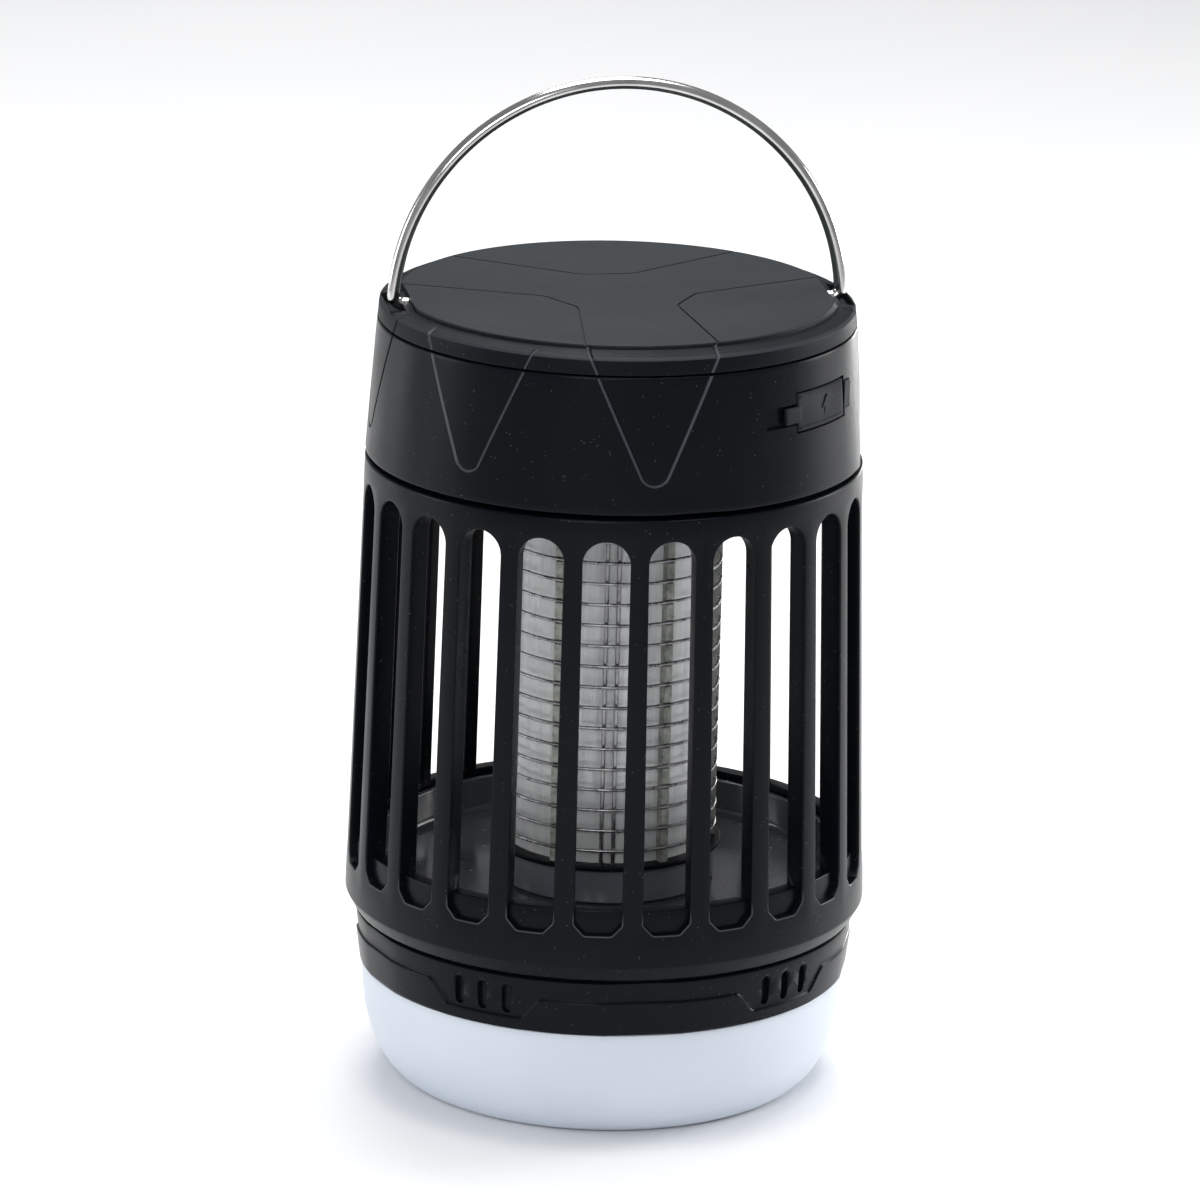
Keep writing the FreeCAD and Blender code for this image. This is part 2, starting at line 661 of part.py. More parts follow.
def topCap():
    shoulder = [(rimR + 0.2, capUnder), (rimR, 136.9), (rimR - 0.12, 137.2), (rimR - 0.5, rimTop),
                (discR + 0.9, 137.75), (discR + 0.35, 138.0), (discR + 0.1, 138.3), (discR, 138.5),
                (discR - 0.25, capTop), (0, capTop)]
    body = revolved([(0, 137.0), (35.6, 137.0), (35.6, 133.8), (37.2, 133.8), (37.2, 131.5), (38.55, 131.5),
                     (38.55, capUnder)] + shoulder)
    posts = [disc(2.9, 127.0, 134.0, x, y) for x, y in capPosts]
    webs = [disc(2.9, 133.0, 137.2, x, y).common(disc(discR - 0.4, 120, 140)) for x, y in capPosts]
    bosses = [box(min(s * 31.5, s * 36.9), max(s * 31.5, s * 36.9), -3.2, 3.2, 134.0, 137.2) for s in (-1, 1)]
    body = joined([body] + bosses + posts + webs)
    cuts = starLines()
    cuts += [disc(pilotR, 126.0, 132.8, x, y) for x, y in capPosts]
    for side in (-1, 1):
        cuts += handlePocket(side)
    return body.cut(group(cuts)).removeSplitter()


def handlePocket(side):
    """Flat on the disc's end, pocket for one leg of the bail and bore for its pin."""
    def across(low, high):
        return min(side * low, side * high), max(side * low, side * high)
    ledge = box(*across(ledgeX, 42), -10, 10, ledgeZ, 140)
    pocket = box(*across(pocketInner, pocketOuter), -pocketHalf, pocketHalf, pocketLow, 140)
    throat = box(*across(pocketInner - 0.5, pocketInner + 0.1), -2.6, 2.6, pocketLow, 140)
    start = min(side * 32.6, side * 38.2)
    bore = Part.makeCylinder(handleWire + pinGap, 5.6, V(start, 0, pivotZ), V(1, 0, 0))
    return [ledge, pocket, throat, bore]


def capScrews():
    return group([screw(x, y, 122.0, 1.8, 2.2, 10.0) for x, y in capPosts])


def handleWirePath():
    """Arch of wire with both ends bent inwards along the pivot axis."""
    bend = handleBend
    start = math.asin((pivotZ + bend - handleArcZ) / handleR)
    legX = handleR * math.cos(start)
    foot = legX - bend
    k = bend * math.sqrt(0.5)
    top = V(0, 0, handleArcZ + handleR)
    right, left = V(legX, 0, pivotZ + bend), V(-legX, 0, pivotZ + bend)
    return Part.Wire([
        Part.LineSegment(V(pinEnd, 0, pivotZ), V(foot, 0, pivotZ)).toShape(),
        Part.Arc(V(foot, 0, pivotZ), V(foot + k, 0, pivotZ + bend - k), right).toShape(),
        Part.Arc(right, top, left).toShape(),
        Part.Arc(left, V(-foot - k, 0, pivotZ + bend - k), V(-foot, 0, pivotZ)).toShape(),
        Part.LineSegment(V(-foot, 0, pivotZ), V(-pinEnd, 0, pivotZ)).toShape()])


def handle():
    path = handleWirePath()
    section = Part.Wire([Part.Circle(V(pinEnd, 0, pivotZ), V(1, 0, 0), handleWire).toShape()])
    return path.makePipeShell([section], True, True, 2)


parts = {
    "diffuser_dome": diffuserDome(),
    "dome_seal": domeSeal(),
    "collar": collar(),
    "collar_screws": collarScrews(),
    "lamp_reflector": lampReflector(),
    "tray_floor": trayFloorDisc(),
    "tray_rim": trayRimRing(),
    "core_tube": coreTube(),
    "core_foot": coreFoot(),
    "grid_bottom_ring": gridRing(ringLow, ringTop),
    "grid_top_ring": gridRing(capRingLow, capRingTop),
    "grid_ribs": gridRibs(),
    "grid_wire_live": gridWire(0),
    "grid_wire_return": gridWire(1),
    "hv_leads": hvLeads(),
    "led_board": ledBoard(),
    "uv_leds": uvLeds(),
    "lamp_board": lampBoard(),
    "lamp_leds": lampLeds(),
    "core_carrier": coreCarrier(),
    "carrier_screws": carrierScrews(),
    "upper_housing": upperHousing(),
    "usb_flap": usbFlap(),
    "flap_anchor": flapAnchor(),
    "power_button": powerButton(),
    "switch_plunger": switchPlunger(),
    "tact_switch": tactSwitch(),
    "indicator_lens": indicatorLens(),
    "indicator_led": indicatorLed(),
    "main_board": mainBoard(),
    "board_screws": boardScrews(),
    "board_connector": boardConnector(),
    "hv_transformer": hvTransformer(),
    "hv_capacitors": hvCapacitors(),
    "filter_capacitor": filterCapacitor(),
    "hv_diodes": hvDiodes(),
    "control_chips": controlChips(),
    "usb_port": usbPort(),
    "battery_cell": batteryCell(),
    "battery_cradle": batteryCradle(),
    "battery_contacts": batteryContacts(),
    "top_cap": topCap(),
    "cap_screws": capScrews(),
    "handle_wire": handle(),
}
parts.update(cageParts())

os.makedirs("parts", exist_ok=True)
for name, shape in parts.items():
    print(name, "solids", len(shape.Solids), "valid", shape.isValid(), "mm3", round(shape.Volume, 2))
    shape.exportStep("parts/" + name + ".step")
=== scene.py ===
import json
import math
import bpy
import bmesh
from mathutils import Matrix, Vector


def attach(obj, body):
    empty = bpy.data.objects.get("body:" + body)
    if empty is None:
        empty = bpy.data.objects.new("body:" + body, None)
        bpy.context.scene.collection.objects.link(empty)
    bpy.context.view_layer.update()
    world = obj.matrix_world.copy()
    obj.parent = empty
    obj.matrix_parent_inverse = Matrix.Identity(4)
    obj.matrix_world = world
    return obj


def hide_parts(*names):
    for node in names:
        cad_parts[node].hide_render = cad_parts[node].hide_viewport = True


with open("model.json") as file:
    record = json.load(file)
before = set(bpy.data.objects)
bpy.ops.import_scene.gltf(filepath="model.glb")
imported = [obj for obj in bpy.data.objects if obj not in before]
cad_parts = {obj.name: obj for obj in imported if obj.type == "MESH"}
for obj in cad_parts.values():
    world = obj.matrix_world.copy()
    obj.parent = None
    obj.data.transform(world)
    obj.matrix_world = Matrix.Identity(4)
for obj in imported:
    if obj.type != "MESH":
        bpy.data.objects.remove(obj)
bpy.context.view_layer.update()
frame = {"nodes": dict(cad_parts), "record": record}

print("frame loaded")
mm = 0.001


def polar(radius, degrees, z):
    # angle from the front, positive towards +X
    a = math.radians(degrees)
    return Vector((radius * math.sin(a), -radius * math.cos(a), z)) * mm


def mixed(low, high, share):
    return low + (high - low) * share


def eased(share):
    share = max(0.0, min(1.0, share))
    return share * share * (3 - 2 * share)


def steps(low, high, count):
    return [mixed(low, high, i / count) for i in range(count + 1)]


def meshObject(name, verts, faces):
    mesh = bpy.data.meshes.new(name)
    mesh.from_pydata(verts, [], faces)
    thing = bpy.data.objects.new(name, mesh)
    bpy.context.scene.collection.objects.link(thing)
    return thing


def cleaned(thing, weld=0.002, sharp=38):
    # one closed skin, normals outwards, smooth but for its real corners
    bm = bmesh.new()
    bm.from_mesh(thing.data)
    bmesh.ops.remove_doubles(bm, verts=bm.verts, dist=weld * mm)
    bmesh.ops.dissolve_degenerate(bm, dist=0.0005 * mm, edges=bm.edges)
    bmesh.ops.recalc_face_normals(bm, faces=bm.faces)
    bm.to_mesh(thing.data)
    bm.free()
    thing.data.shade_smooth()
    thing.data.set_sharp_from_angle(angle=math.radians(sharp))
    return thing


def baked(thing):
    # turns the result of the modifiers into the object's own plain mesh
    bpy.context.view_layer.update()
    graph = bpy.context.evaluated_depsgraph_get()
    mesh = bpy.data.meshes.new_from_object(thing.evaluated_get(graph))
    thing.modifiers.clear()
    thing.data = mesh
    return thing


def loopGrid(name, columns, rows, place):
    # closed skin: every column is a closed loop of rows, and the columns close round
    verts = [place(c, r) for c in range(columns) for r in range(rows)]
    faces = []
    for c in range(columns):
        for r in range(rows):
            a, b, up = c * rows, ((c + 1) % columns) * rows, (r + 1) % rows
            faces.append((a + r, b + r, b + up, a + up))
    return meshObject(name, verts, faces)


def marked(thing, values):
    # a value on every vertex, which the black finish reads as a painted highlight and draws brighter
    layer = thing.data.attributes.new("painted_highlight", "FLOAT", "POINT")
    layer.data.foreach_set("value", values)
    return thing


def gridValues(columns, rows, mark):
    return [mark(c, r) for c in range(columns) for r in range(rows)]


def lathe(name, outline, count=160):
    # outline is a closed (radius, height) loop
    turned = loopGrid(name, count, len(outline),
                      lambda c, r: polar(outline[r][0], 360 * c / count, outline[r][1]))
    return cleaned(turned)


def rounded(outline, radii, parts=4):
    # rounds the corners of a closed outline, each with its own radius
    result = []
    for i, point in enumerate(outline):
        radius = radii[i] if isinstance(radii, (list, tuple)) else radii
        p, q, r = Vector(outline[i - 1]), Vector(point), Vector(outline[(i + 1) % len(outline)])
        before, after = (p - q), (r - q)
        if not radius or before.length < 1e-9 or after.length < 1e-9:
            result.append(tuple(q))
            continue
        half = before.angle(after) / 2
        reach = min(radius / max(math.tan(half), 1e-6), before.length * 0.48, after.length * 0.48)
        a, b = q + before.normalized() * reach, q + after.normalized() * reach
        for k in range(parts + 1):
            t = k / parts
            result.append(tuple(a * (1 - t) ** 2 + q * 2 * t * (1 - t) + b * t * t))
    return result


def carved(thing, tools, mode="DIFFERENCE"):
    for tool in tools:
        cut = thing.modifiers.new("cut", "BOOLEAN")
        cut.operation = mode
        cut.solver = "EXACT"
        cut.object = tool
    baked(thing)
    for tool in tools:
        bpy.data.objects.remove(tool)
    return thing


def softened(thing, width, parts=2, angle=35):
    bevel = thing.modifiers.new("soft edges", "BEVEL")
    bevel.width = width * mm
    bevel.segments = parts
    bevel.limit_method = "ANGLE"
    bevel.angle_limit = math.radians(angle)
    return baked(thing)


def combined(name, things):
    bm = bmesh.new()
    for thing in things:
        bm.from_mesh(thing.data)
        bpy.data.objects.remove(thing)
    mesh = bpy.data.meshes.new(name)
    bm.to_mesh(mesh)
    bm.free()
    result = bpy.data.objects.new(name, mesh)
    bpy.context.scene.collection.objects.link(result)
    result.data.set_sharp_from_angle(angle=math.radians(38))
    return result


def moved(thing, matrix):
    thing.data.transform(matrix)
    return thing


def facing(degrees, radius, z):
    # turns a piece made round +Z so that +Z points out of the wall there
    a = math.radians(degrees)
    out = Vector((math.sin(a), -math.cos(a), 0))
    side = Vector((math.cos(a), math.sin(a), 0))
    turn = Matrix((side, (0, 0, 1), out)).transposed().to_4x4()
    return Matrix.Translation(polar(radius, degrees, z)) @ turn


def block(name, low, high):
    bm = bmesh.new()
    bmesh.ops.create_cube(bm, size=1)
    for v in bm.verts:
        v.co = Vector([mixed(low[i], high[i], v.co[i] + 0.5) for i in range(3)]) * mm
    mesh = bpy.data.meshes.new(name)
    bm.to_mesh(mesh)
    bm.free()
    thing = bpy.data.objects.new(name, mesh)
    bpy.context.scene.collection.objects.link(thing)
    return thing


def slab(name, outline, low, high):
    # upright prism of an (x, y) outline
    n = len(outline)
    verts = [Vector((x, y, z)) * mm for z in (low, high) for x, y in outline]
    faces = [tuple(reversed(range(n))), tuple(range(n, 2 * n))]
    faces += [(i, (i + 1) % n, n + (i + 1) % n, n + i) for i in range(n)]
    return meshObject(name, verts, faces)


class Graph:
    def __init__(self, name):
        self.material = bpy.data.materials.new(name)
        self.material.use_nodes = True
        self.nodes = self.material.node_tree.nodes
        self.links = self.material.node_tree.links
        self.shader = self.nodes["Principled BSDF"]
        self.coords = self.nodes.new("ShaderNodeTexCoord").outputs["Object"]

    def add(self, kind, links=(), **values):
        node = self.nodes.new(kind)
        for key, value in values.items():
            setattr(node, key, value)
        for socket, source in links:
            if hasattr(source, "links"):
                self.links.new(source, node.inputs[socket])
            else:
                node.inputs[socket].default_value = source
        return node

    def noise(self, scale, detail=3.0, stretch=None):
        source = self.coords
        if stretch:
            source = self.add("ShaderNodeMapping", [("Vector", source), ("Scale", stretch)]).outputs[0]
        return self.add("ShaderNodeTexNoise", [("Vector", source), ("Scale", scale), ("Detail", detail)]).outputs[0]

    def spread(self, source, low, high, fromLow=0.3, fromHigh=0.7):
        links = [("Value", source), ("From Min", fromLow), ("From Max", fromHigh), ("To Min", low), ("To Max", high)]
        return self.add("ShaderNodeMapRange", links).outputs[0]

    def blend(self, share, first, second):
        node = self.add("ShaderNodeMix", [("Factor", share)], data_type="RGBA")
        for socket, source in (("A", first), ("B", second)):
            target = [s for s in node.inputs if s.name == socket and s.type == "RGBA"][0]
            if hasattr(source, "links"):
                self.links.new(source, target)
            else:
                target.default_value = (*source, 1.0)
        return [s for s in node.outputs if s.type == "RGBA"][0]

    def colour(self, source):
        self.links.new(source, self.shader.inputs["Base Color"])

    def rough(self, source):
        self.links.new(source, self.shader.inputs["Roughness"])

    def bump(self, height, depth, strength=1.0):
        node = self.add("ShaderNodeBump", [("Height", height), ("Distance", depth * mm), ("Strength", strength)])
        self.links.new(node.outputs[0], self.shader.inputs["Normal"])

    def fixed(self, **values):
        for key, value in values.items():
            self.shader.inputs[key.replace("_", " ")].default_value = value


def mouldedPlastic(name, s):
    g = Graph(name)
    cloud = g.noise(s["cloudScale"], 4)
    body = g.blend(g.spread(cloud, 0, 1), s["dark"], s["light"])
    # painted shade: below shadeBelow the colour turns to the darker shade colour
    if "shadeBelow" in s:
        height = g.add("ShaderNodeSeparateXYZ", [("Vector", g.coords)]).outputs["Z"]
        above = g.spread(height, 0, 1, (s["shadeBelow"] - 0.05) * mm, (s["shadeBelow"] + 0.05) * mm)
        body = g.blend(above, s["shade"], body)
    # painted highlight: marked vertices along panel lines and edges are blended towards the lighter line colour
    body = g.blend(g.add("ShaderNodeAttribute", attribute_name="painted_highlight").outputs["Fac"], body, s["line"])
    motes = g.add("ShaderNodeTexVoronoi", [("Vector", g.coords), ("Scale", s["moteScale"])]).outputs["Distance"]
    patch = g.spread(g.noise(s["moteScale"] * 0.31, 2), 0, 1, 0.52, 0.62)
    dot = g.spread(motes, 1, 0, s["moteSize"] * 0.6, s["moteSize"])
    share = g.add("ShaderNodeMath", [(0, patch), (1, dot)], operation="MULTIPLY").outputs[0]
    g.colour(g.blend(share, body, s["mote"]))
    g.rough(g.spread(g.noise(s["cloudScale"] * 2.7, 3), s["roughLow"], s["roughHigh"]))
    g.bump(g.noise(s["grainScale"], 2), s["grainDepth"], 0.6)
    g.fixed(Specular_IOR_Level=s["specular"])
    return g.material


def boardFinish(name, s):
    # solder mask with copper runs showing through
    g = Graph(name)
    runs = g.add("ShaderNodeTexBrick", [("Vector", g.coords), ("Scale", 260.0), ("Mortar Size", 0.03)])
    share = g.spread(runs.outputs["Fac"], 0, 0.7, 0, 1)
    cloud = g.blend(g.spread(g.noise(140), 0, 1), s["dark"], s["light"])
    g.colour(g.blend(share, cloud, s["run"]))
    g.rough(g.spread(g.noise(300), 0.25, 0.4))
    g.bump(runs.outputs["Fac"], 0.03, 0.5)
    return g.material


def metalFinish(name, s):
    g = Graph(name)
    streak = g.noise(s["scale"], 3, s["stretch"])
    g.colour(g.blend(g.spread(streak, 0, 1), s["dark"], s["light"]))
    g.rough(g.spread(streak, s["roughLow"], s["roughHigh"]))
    g.bump(streak, s["depth"], 0.4)
    g.fixed(Metallic=1.0)
    return g.material


def plainGloss(name, s):
    g = Graph(name)
    cloud = g.noise(s.get("scale", 180.0), 4)
    g.colour(g.blend(g.spread(cloud, 0, 1), s["dark"], s["light"]))
    g.rough(g.spread(g.noise(s.get("scale", 180.0) * 3, 2), s["roughLow"], s["roughHigh"]))
    g.bump(g.noise(s.get("grainScale", 1500.0), 2), s.get("depth", 0.01), 0.4)
    return g.material


def frostedDome(name, s):
    g = Graph(name)
    cloud = g.noise(s["cloudScale"], 3)
    g.colour(g.blend(g.spread(cloud, 0, 1), s["dark"], s["light"]))
    g.rough(g.spread(g.noise(s["cloudScale"] * 3), s["roughLow"], s["roughHigh"]))
    g.bump(g.noise(s["grainScale"], 2), s["grainDepth"], 0.5)
    g.fixed(Subsurface_Weight=s["scatter"], Subsurface_Scale=s["reach"] * mm, Specular_IOR_Level=0.45)
    g.shader.inputs["Subsurface Radius"].default_value = (1.0, 1.05, 1.2)
    return g.material


def clearPlastic(name, s):
    g = Graph(name)
    streak = g.noise(s["scale"], 3, (1.0, 1.0, 0.04))
    g.colour(g.blend(g.spread(streak, 0, 1), s["dark"], s["light"]))
    g.rough(g.spread(streak, s["roughLow"], s["roughHigh"]))
    g.bump(streak, s["depth"], 0.7)
    g.fixed(Transmission_Weight=s["clear"], IOR=1.49)
    return g.material


# the line colour is the painted highlight on panel lines and edges
blackShell = {"dark": (0.0020, 0.0034, 0.0052), "light": (0.0030, 0.0045, 0.0066), "mote": (0.09, 0.09, 0.10),
              "line": (0.075, 0.082, 0.092),
              "cloudScale": 28.0, "moteScale": 1150.0, "moteSize": 0.13, "grainScale": 2600.0, "grainDepth": 0.02,
              "roughLow": 0.26, "roughHigh": 0.34, "specular": 0.1}
finishes = {
    "housing_black": mouldedPlastic("fine grained black shell", blackShell),
    # the cap's shade colour below 138.5 mm is painted shade on the shoulder
    "cap_black": mouldedPlastic("matt charcoal cap", {**blackShell, "dark": (0.017, 0.021, 0.024),
                                "light": (0.021, 0.025, 0.028), "roughLow": 0.44, "roughHigh": 0.54,
                                "specular": 0.1, "moteScale": 1300.0,
                                "shadeBelow": 138.5, "shade": (0.0025, 0.004, 0.006)}),
    "tray_black": mouldedPlastic("polished black tray", {**blackShell, "dark": (0.045, 0.049, 0.055),
                                 "light": (0.085, 0.09, 0.098), "roughLow": 0.1, "roughHigh": 0.26,
                                 "specular": 0.6, "moteScale": 380.0, "moteSize": 0.2, "mote": (0.2, 0.2, 0.22),
                                 "grainScale": 400.0, "grainDepth": 0.05}),
    "insulator_black": mouldedPlastic("black insulator", {**blackShell, "roughLow": 0.3, "roughHigh": 0.45}),
    "rubber_black": mouldedPlastic("black rubber", {**blackShell, "roughLow": 0.6, "roughHigh": 0.8,
                                   "specular": 0.25, "grainDepth": 0.02}),
    "chip_black": mouldedPlastic("black epoxy", {**blackShell, "grainScale": 5200.0, "roughLow": 0.5,
                                 "roughHigh": 0.6}),
    "dome_white": frostedDome("frosted lamp dome", {"dark": (0.64, 0.70, 0.80), "light": (0.68, 0.74, 0.84),
                              "cloudScale": 22.0, "grainScale": 3200.0, "grainDepth": 0.012, "roughLow": 0.3,
                              "roughHigh": 0.42, "scatter": 0.35, "reach": 3.0}),
    "reflector_white": plainGloss("white reflector", {"dark": (0.72, 0.72, 0.71), "light": (0.82, 0.82, 0.81),
                                  "roughLow": 0.3, "roughHigh": 0.45}),
    "clear_tube": clearPlastic("clear tube plastic", {"dark": (0.80, 0.83, 0.84), "light": (0.99, 0.99, 0.99),
                               "scale": 900.0, "roughLow": 0.04, "roughHigh": 0.14, "depth": 0.12, "clear": 0.55}),
    "lens_clear": clearPlastic("clear light pipe", {"dark": (0.85, 0.87, 0.86), "light": (0.95, 0.95, 0.95),
                               "scale": 300.0, "roughLow": 0.1, "roughHigh": 0.2, "depth": 0.02, "clear": 0.6}),
    "handle_steel": metalFinish("polished stainless wire", {"dark": (0.52, 0.51, 0.50), "light": (0.72, 0.71, 0.70),
                                "scale": 500.0, "stretch": (0.2, 1, 0.2), "roughLow": 0.10, "roughHigh": 0.2,
                                "depth": 0.004}),
    "grid_steel": metalFinish("drawn grid wire", {"dark": (0.20, 0.20, 0.21), "light": (0.44, 0.44, 0.45),
                              "scale": 700.0, "stretch": (1, 1, 0.3), "roughLow": 0.22, "roughHigh": 0.38,
                              "depth": 0.005}),
    "screw_steel": metalFinish("zinc plated screws", {"dark": (0.38, 0.38, 0.36), "light": (0.56, 0.56, 0.55),
                               "scale": 800.0, "stretch": (1, 1, 1), "roughLow": 0.3, "roughHigh": 0.5,
                               "depth": 0.01}),
    "nickel": metalFinish("nickel plate", {"dark": (0.5, 0.47, 0.42), "light": (0.66, 0.63, 0.57), "scale": 600.0,
                          "stretch": (1, 1, 1), "roughLow": 0.2, "roughHigh": 0.35, "depth": 0.005}),
    "can_aluminium": metalFinish("sleeved can", {"dark": (0.3, 0.32, 0.38), "light": (0.45, 0.47, 0.52),
                                 "scale": 500.0, "stretch": (1, 1, 0.2), "roughLow": 0.3, "roughHigh": 0.4,
                                 "depth": 0.01}),
    "board_white": boardFinish("white board", {"dark": (0.66, 0.68, 0.66), "light": (0.78, 0.79, 0.77),
                               "run": (0.5, 0.48, 0.4)}),
    "board_green": boardFinish("green board", {"dark": (0.012, 0.09, 0.035), "light": (0.02, 0.14, 0.055),
                               "run": (0.06, 0.24, 0.09)}),
    "led_yellow": plainGloss("lamp phosphor", {"dark": (0.72, 0.58, 0.16), "light": (0.85, 0.72, 0.28),
                             "roughLow": 0.3, "roughHigh": 0.5, "scale": 700.0}),
    "led_violet": plainGloss("violet lens", {"dark": (0.55, 0.5, 0.8), "light": (0.75, 0.72, 0.9),
                             "roughLow": 0.12, "roughHigh": 0.25, "scale": 700.0}),
    "ferrite": plainGloss("sintered ferrite", {"dark": (0.03, 0.027, 0.025), "light": (0.07, 0.06, 0.055),
                          "roughLow": 0.6, "roughHigh": 0.8, "scale": 900.0, "depth": 0.03}),
    "capacitor_red": plainGloss("dipped epoxy", {"dark": (0.34, 0.05, 0.02), "light": (0.46, 0.09, 0.04),
                                "roughLow": 0.2, "roughHigh": 0.35}),
    "cell_wrap": plainGloss("cell sleeve", {"dark": (0.02, 0.11, 0.3), "light": (0.04, 0.17, 0.42),
                            "roughLow": 0.25, "roughHigh": 0.4}),
    "wire_red": plainGloss("silicone lead", {"dark": (0.36, 0.015, 0.012), "light": (0.5, 0.03, 0.025),
                           "roughLow": 0.4, "roughHigh": 0.55}),
}
smokedFoot = plainGloss("smoked foot ring", {"dark": (0.10, 0.115, 0.13), "light": (0.14, 0.155, 0.17),
                                             "roughLow": 0.16, "roughHigh": 0.26, "scale": 90.0})
combPlastic = plainGloss("cloudy comb plastic", {"dark": (0.13, 0.14, 0.12), "light": (0.32, 0.33, 0.30),
                                                 "roughLow": 0.15, "roughHigh": 0.3, "scale": 600.0})
slotOf = {s["node"]: s["material_slot"] for s in frame["record"]["subparts"]}
bodyOf = {n: b for b, members in frame["record"]["behaviour"]["bodies"].items() for n in members}


def placed(piece, *nodes, finish=None):
    # the piece stands for those nodes, rides on their body and takes their finish
    slotName = slotOf[nodes[0]]
    piece.data.materials.clear()
    piece.data.materials.append(finish or finishes[slotName])
    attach(piece, bodyOf[nodes[0]])
    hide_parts(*nodes)
    return piece


for node, cadObject in frame["nodes"].items():
    cadObject.data.materials.clear()
    cadObject.data.materials.append(finishes[slotOf[node]])
print("finishes made:", len(finishes))


# a part repeated round the axis, or up it
def ringArrayTree():
    tree = bpy.data.node_groups.new("ring array", "GeometryNodeTree")
    wanted = (("Part", "NodeSocketGeometry"), ("Count", "NodeSocketInt"), ("First Angle", "NodeSocketFloat"),
              ("Step Angle", "NodeSocketFloat"), ("Step Rise", "NodeSocketFloat"), ("Weld", "NodeSocketFloat"),
              ("Finish", "NodeSocketMaterial"))
    for label, kind in wanted:
        tree.interface.new_socket(label, in_out="INPUT", socket_type=kind)
    tree.interface.new_socket("Result", in_out="OUTPUT", socket_type="NodeSocketGeometry")
    new, link = tree.nodes.new, tree.links.new
    entry, final = new("NodeGroupInput"), new("NodeGroupOutput")
    points, index = new("GeometryNodePoints"), new("GeometryNodeInputIndex")
    turn, start, rise = [new("ShaderNodeMath") for _ in range(3)]
    turn.operation, start.operation, rise.operation = "MULTIPLY", "ADD", "MULTIPLY"
    spot, euler = new("ShaderNodeCombineXYZ"), new("ShaderNodeCombineXYZ")
    rotation = new("FunctionNodeEulerToRotation")
    copies, realise = new("GeometryNodeInstanceOnPoints"), new("GeometryNodeRealizeInstances")
    weld, finish = new("GeometryNodeMergeByDistance"), new("GeometryNodeSetMaterial")
    link(entry.outputs["Count"], points.inputs["Count"])
    link(index.outputs[0], turn.inputs[0])
    link(entry.outputs["Step Angle"], turn.inputs[1])
    link(turn.outputs[0], start.inputs[0])
    link(entry.outputs["First Angle"], start.inputs[1])
    link(index.outputs[0], rise.inputs[0])
    link(entry.outputs["Step Rise"], rise.inputs[1])
    link(rise.outputs[0], spot.inputs["Z"])
    link(spot.outputs[0], points.inputs["Position"])
    link(start.outputs[0], euler.inputs["Z"])
    link(euler.outputs[0], rotation.inputs[0])
    link(points.outputs[0], copies.inputs["Points"])
    link(entry.outputs["Part"], copies.inputs["Instance"])
    link(rotation.outputs[0], copies.inputs["Rotation"])
    link(entry.outputs["Weld"], weld.inputs["Distance"])
    link(copies.outputs[0], realise.inputs[0])
    link(realise.outputs[0], weld.inputs["Geometry"])
    link(weld.outputs[0], finish.inputs["Geometry"])
    link(entry.outputs["Finish"], finish.inputs["Material"])
    link(finish.outputs[0], final.inputs[0])
    return tree


ringArray = ringArrayTree()


def repeated(part, count, first=0.0, step=0.0, rise=0.0, weld=0.0, finish=None):
    array = part.modifiers.new("array", "NODES")
    array.node_group = ringArray
    values = {"Count": count, "First Angle": math.radians(first), "Step Angle": math.radians(step),
              "Step Rise": rise * mm, "Weld": weld * mm, "Finish": finish}
    for item in ringArray.interface.items_tree:
        if item.in_out == "INPUT" and item.name in values:
            array[item.identifier] = values[item.name]
    return baked(part)


cageSet = {"bays": 24, "firstBay": 4.5, "slotHalf": 4.0, "slotLow": 42.6, "slotHigh": 106.5, "recessLow": 38.5,
           "corner": 1.7, "recessDepth": 1.3, "wideRadius": 44.9, "wideHeight": 32.9, "topRadius": 42.5,
           "top": 110.2, "boreLow": 40.9, "boreTop": 38.8, "bandLow": 35.4, "bandTop": 107.3, "edge": 0.32,
           "counterbore": 40.3}


def cageOuter(z):
    s = cageSet
    return mixed(s["wideRadius"], s["topRadius"], (z - s["wideHeight"]) / (s["top"] - s["wideHeight"]))


def cageBore(z):
    s = cageSet
    return mixed(s["boreLow"], s["boreTop"], (z - 34.0) / (s["top"] - 34.0))


def slotOutline():
    # right half of one opening's outline from bottom to top, with the matching spot on the bay's border
    s = cageSet
    w, low, corner = s["slotHalf"], s["recessLow"], s["corner"]
    half = [((0.0, low), (0.0, s["bandLow"])), ((w - corner - 0.6, low), (0.45, s["bandLow"])),
            ((w - corner - 0.15, low + 0.03), (0.7, s["bandLow"])),
            ((w - corner + 0.1, low + 0.15), (0.85, s["bandLow"])),
            ((w - 0.12, low + corner), (1.0, s["bandLow"])), ((w - 0.02, low + corner + 0.3), (1.0, 37.6)),
            ((w, low + corner + 0.6), (1.0, 39.4)), ((w, s["slotLow"]), (1.0, s["slotLow"]))]
    crown = s["slotHigh"] - w
    half += [((w, z), (1.0, z)) for z in steps(s["slotLow"], crown, 16)[1:]]
    reach = s["bandTop"] - crown
    for i in range(1, 13):
        a = math.radians(90 * i / 12)
        spot = (w * math.cos(a), crown + w * math.sin(a))
        if i <= 6:
            border = (1.0, crown + reach * math.tan(a))
        else:
            border = (math.tan(math.pi / 2 - a), s["bandTop"])
        half.append((spot, border))
    return half + [((-x, z), (-share, height)) for (x, z), (share, height) in reversed(half[1:-1])]


def grownOutline(points, distance):
    # moves a closed outline outwards by a distance
    result = []
    for i, (x, z) in enumerate(points):
        a, b = Vector(points[i - 1]), Vector(points[(i + 1) % len(points)])
        here = Vector((x, z))
        before, after = (here - a), (b - here)
        if before.length < 1e-7:
            before = after
        if after.length < 1e-7:
            after = before
        n1 = Vector((before.y, -before.x)).normalized()
        n2 = Vector((after.y, -after.x)).normalized()
        n = n1 + n2
        scale = distance * 2 / max(n.length_squared, 1.0)
        result.append((x + n.x * scale, z + n.y * scale))
    return result


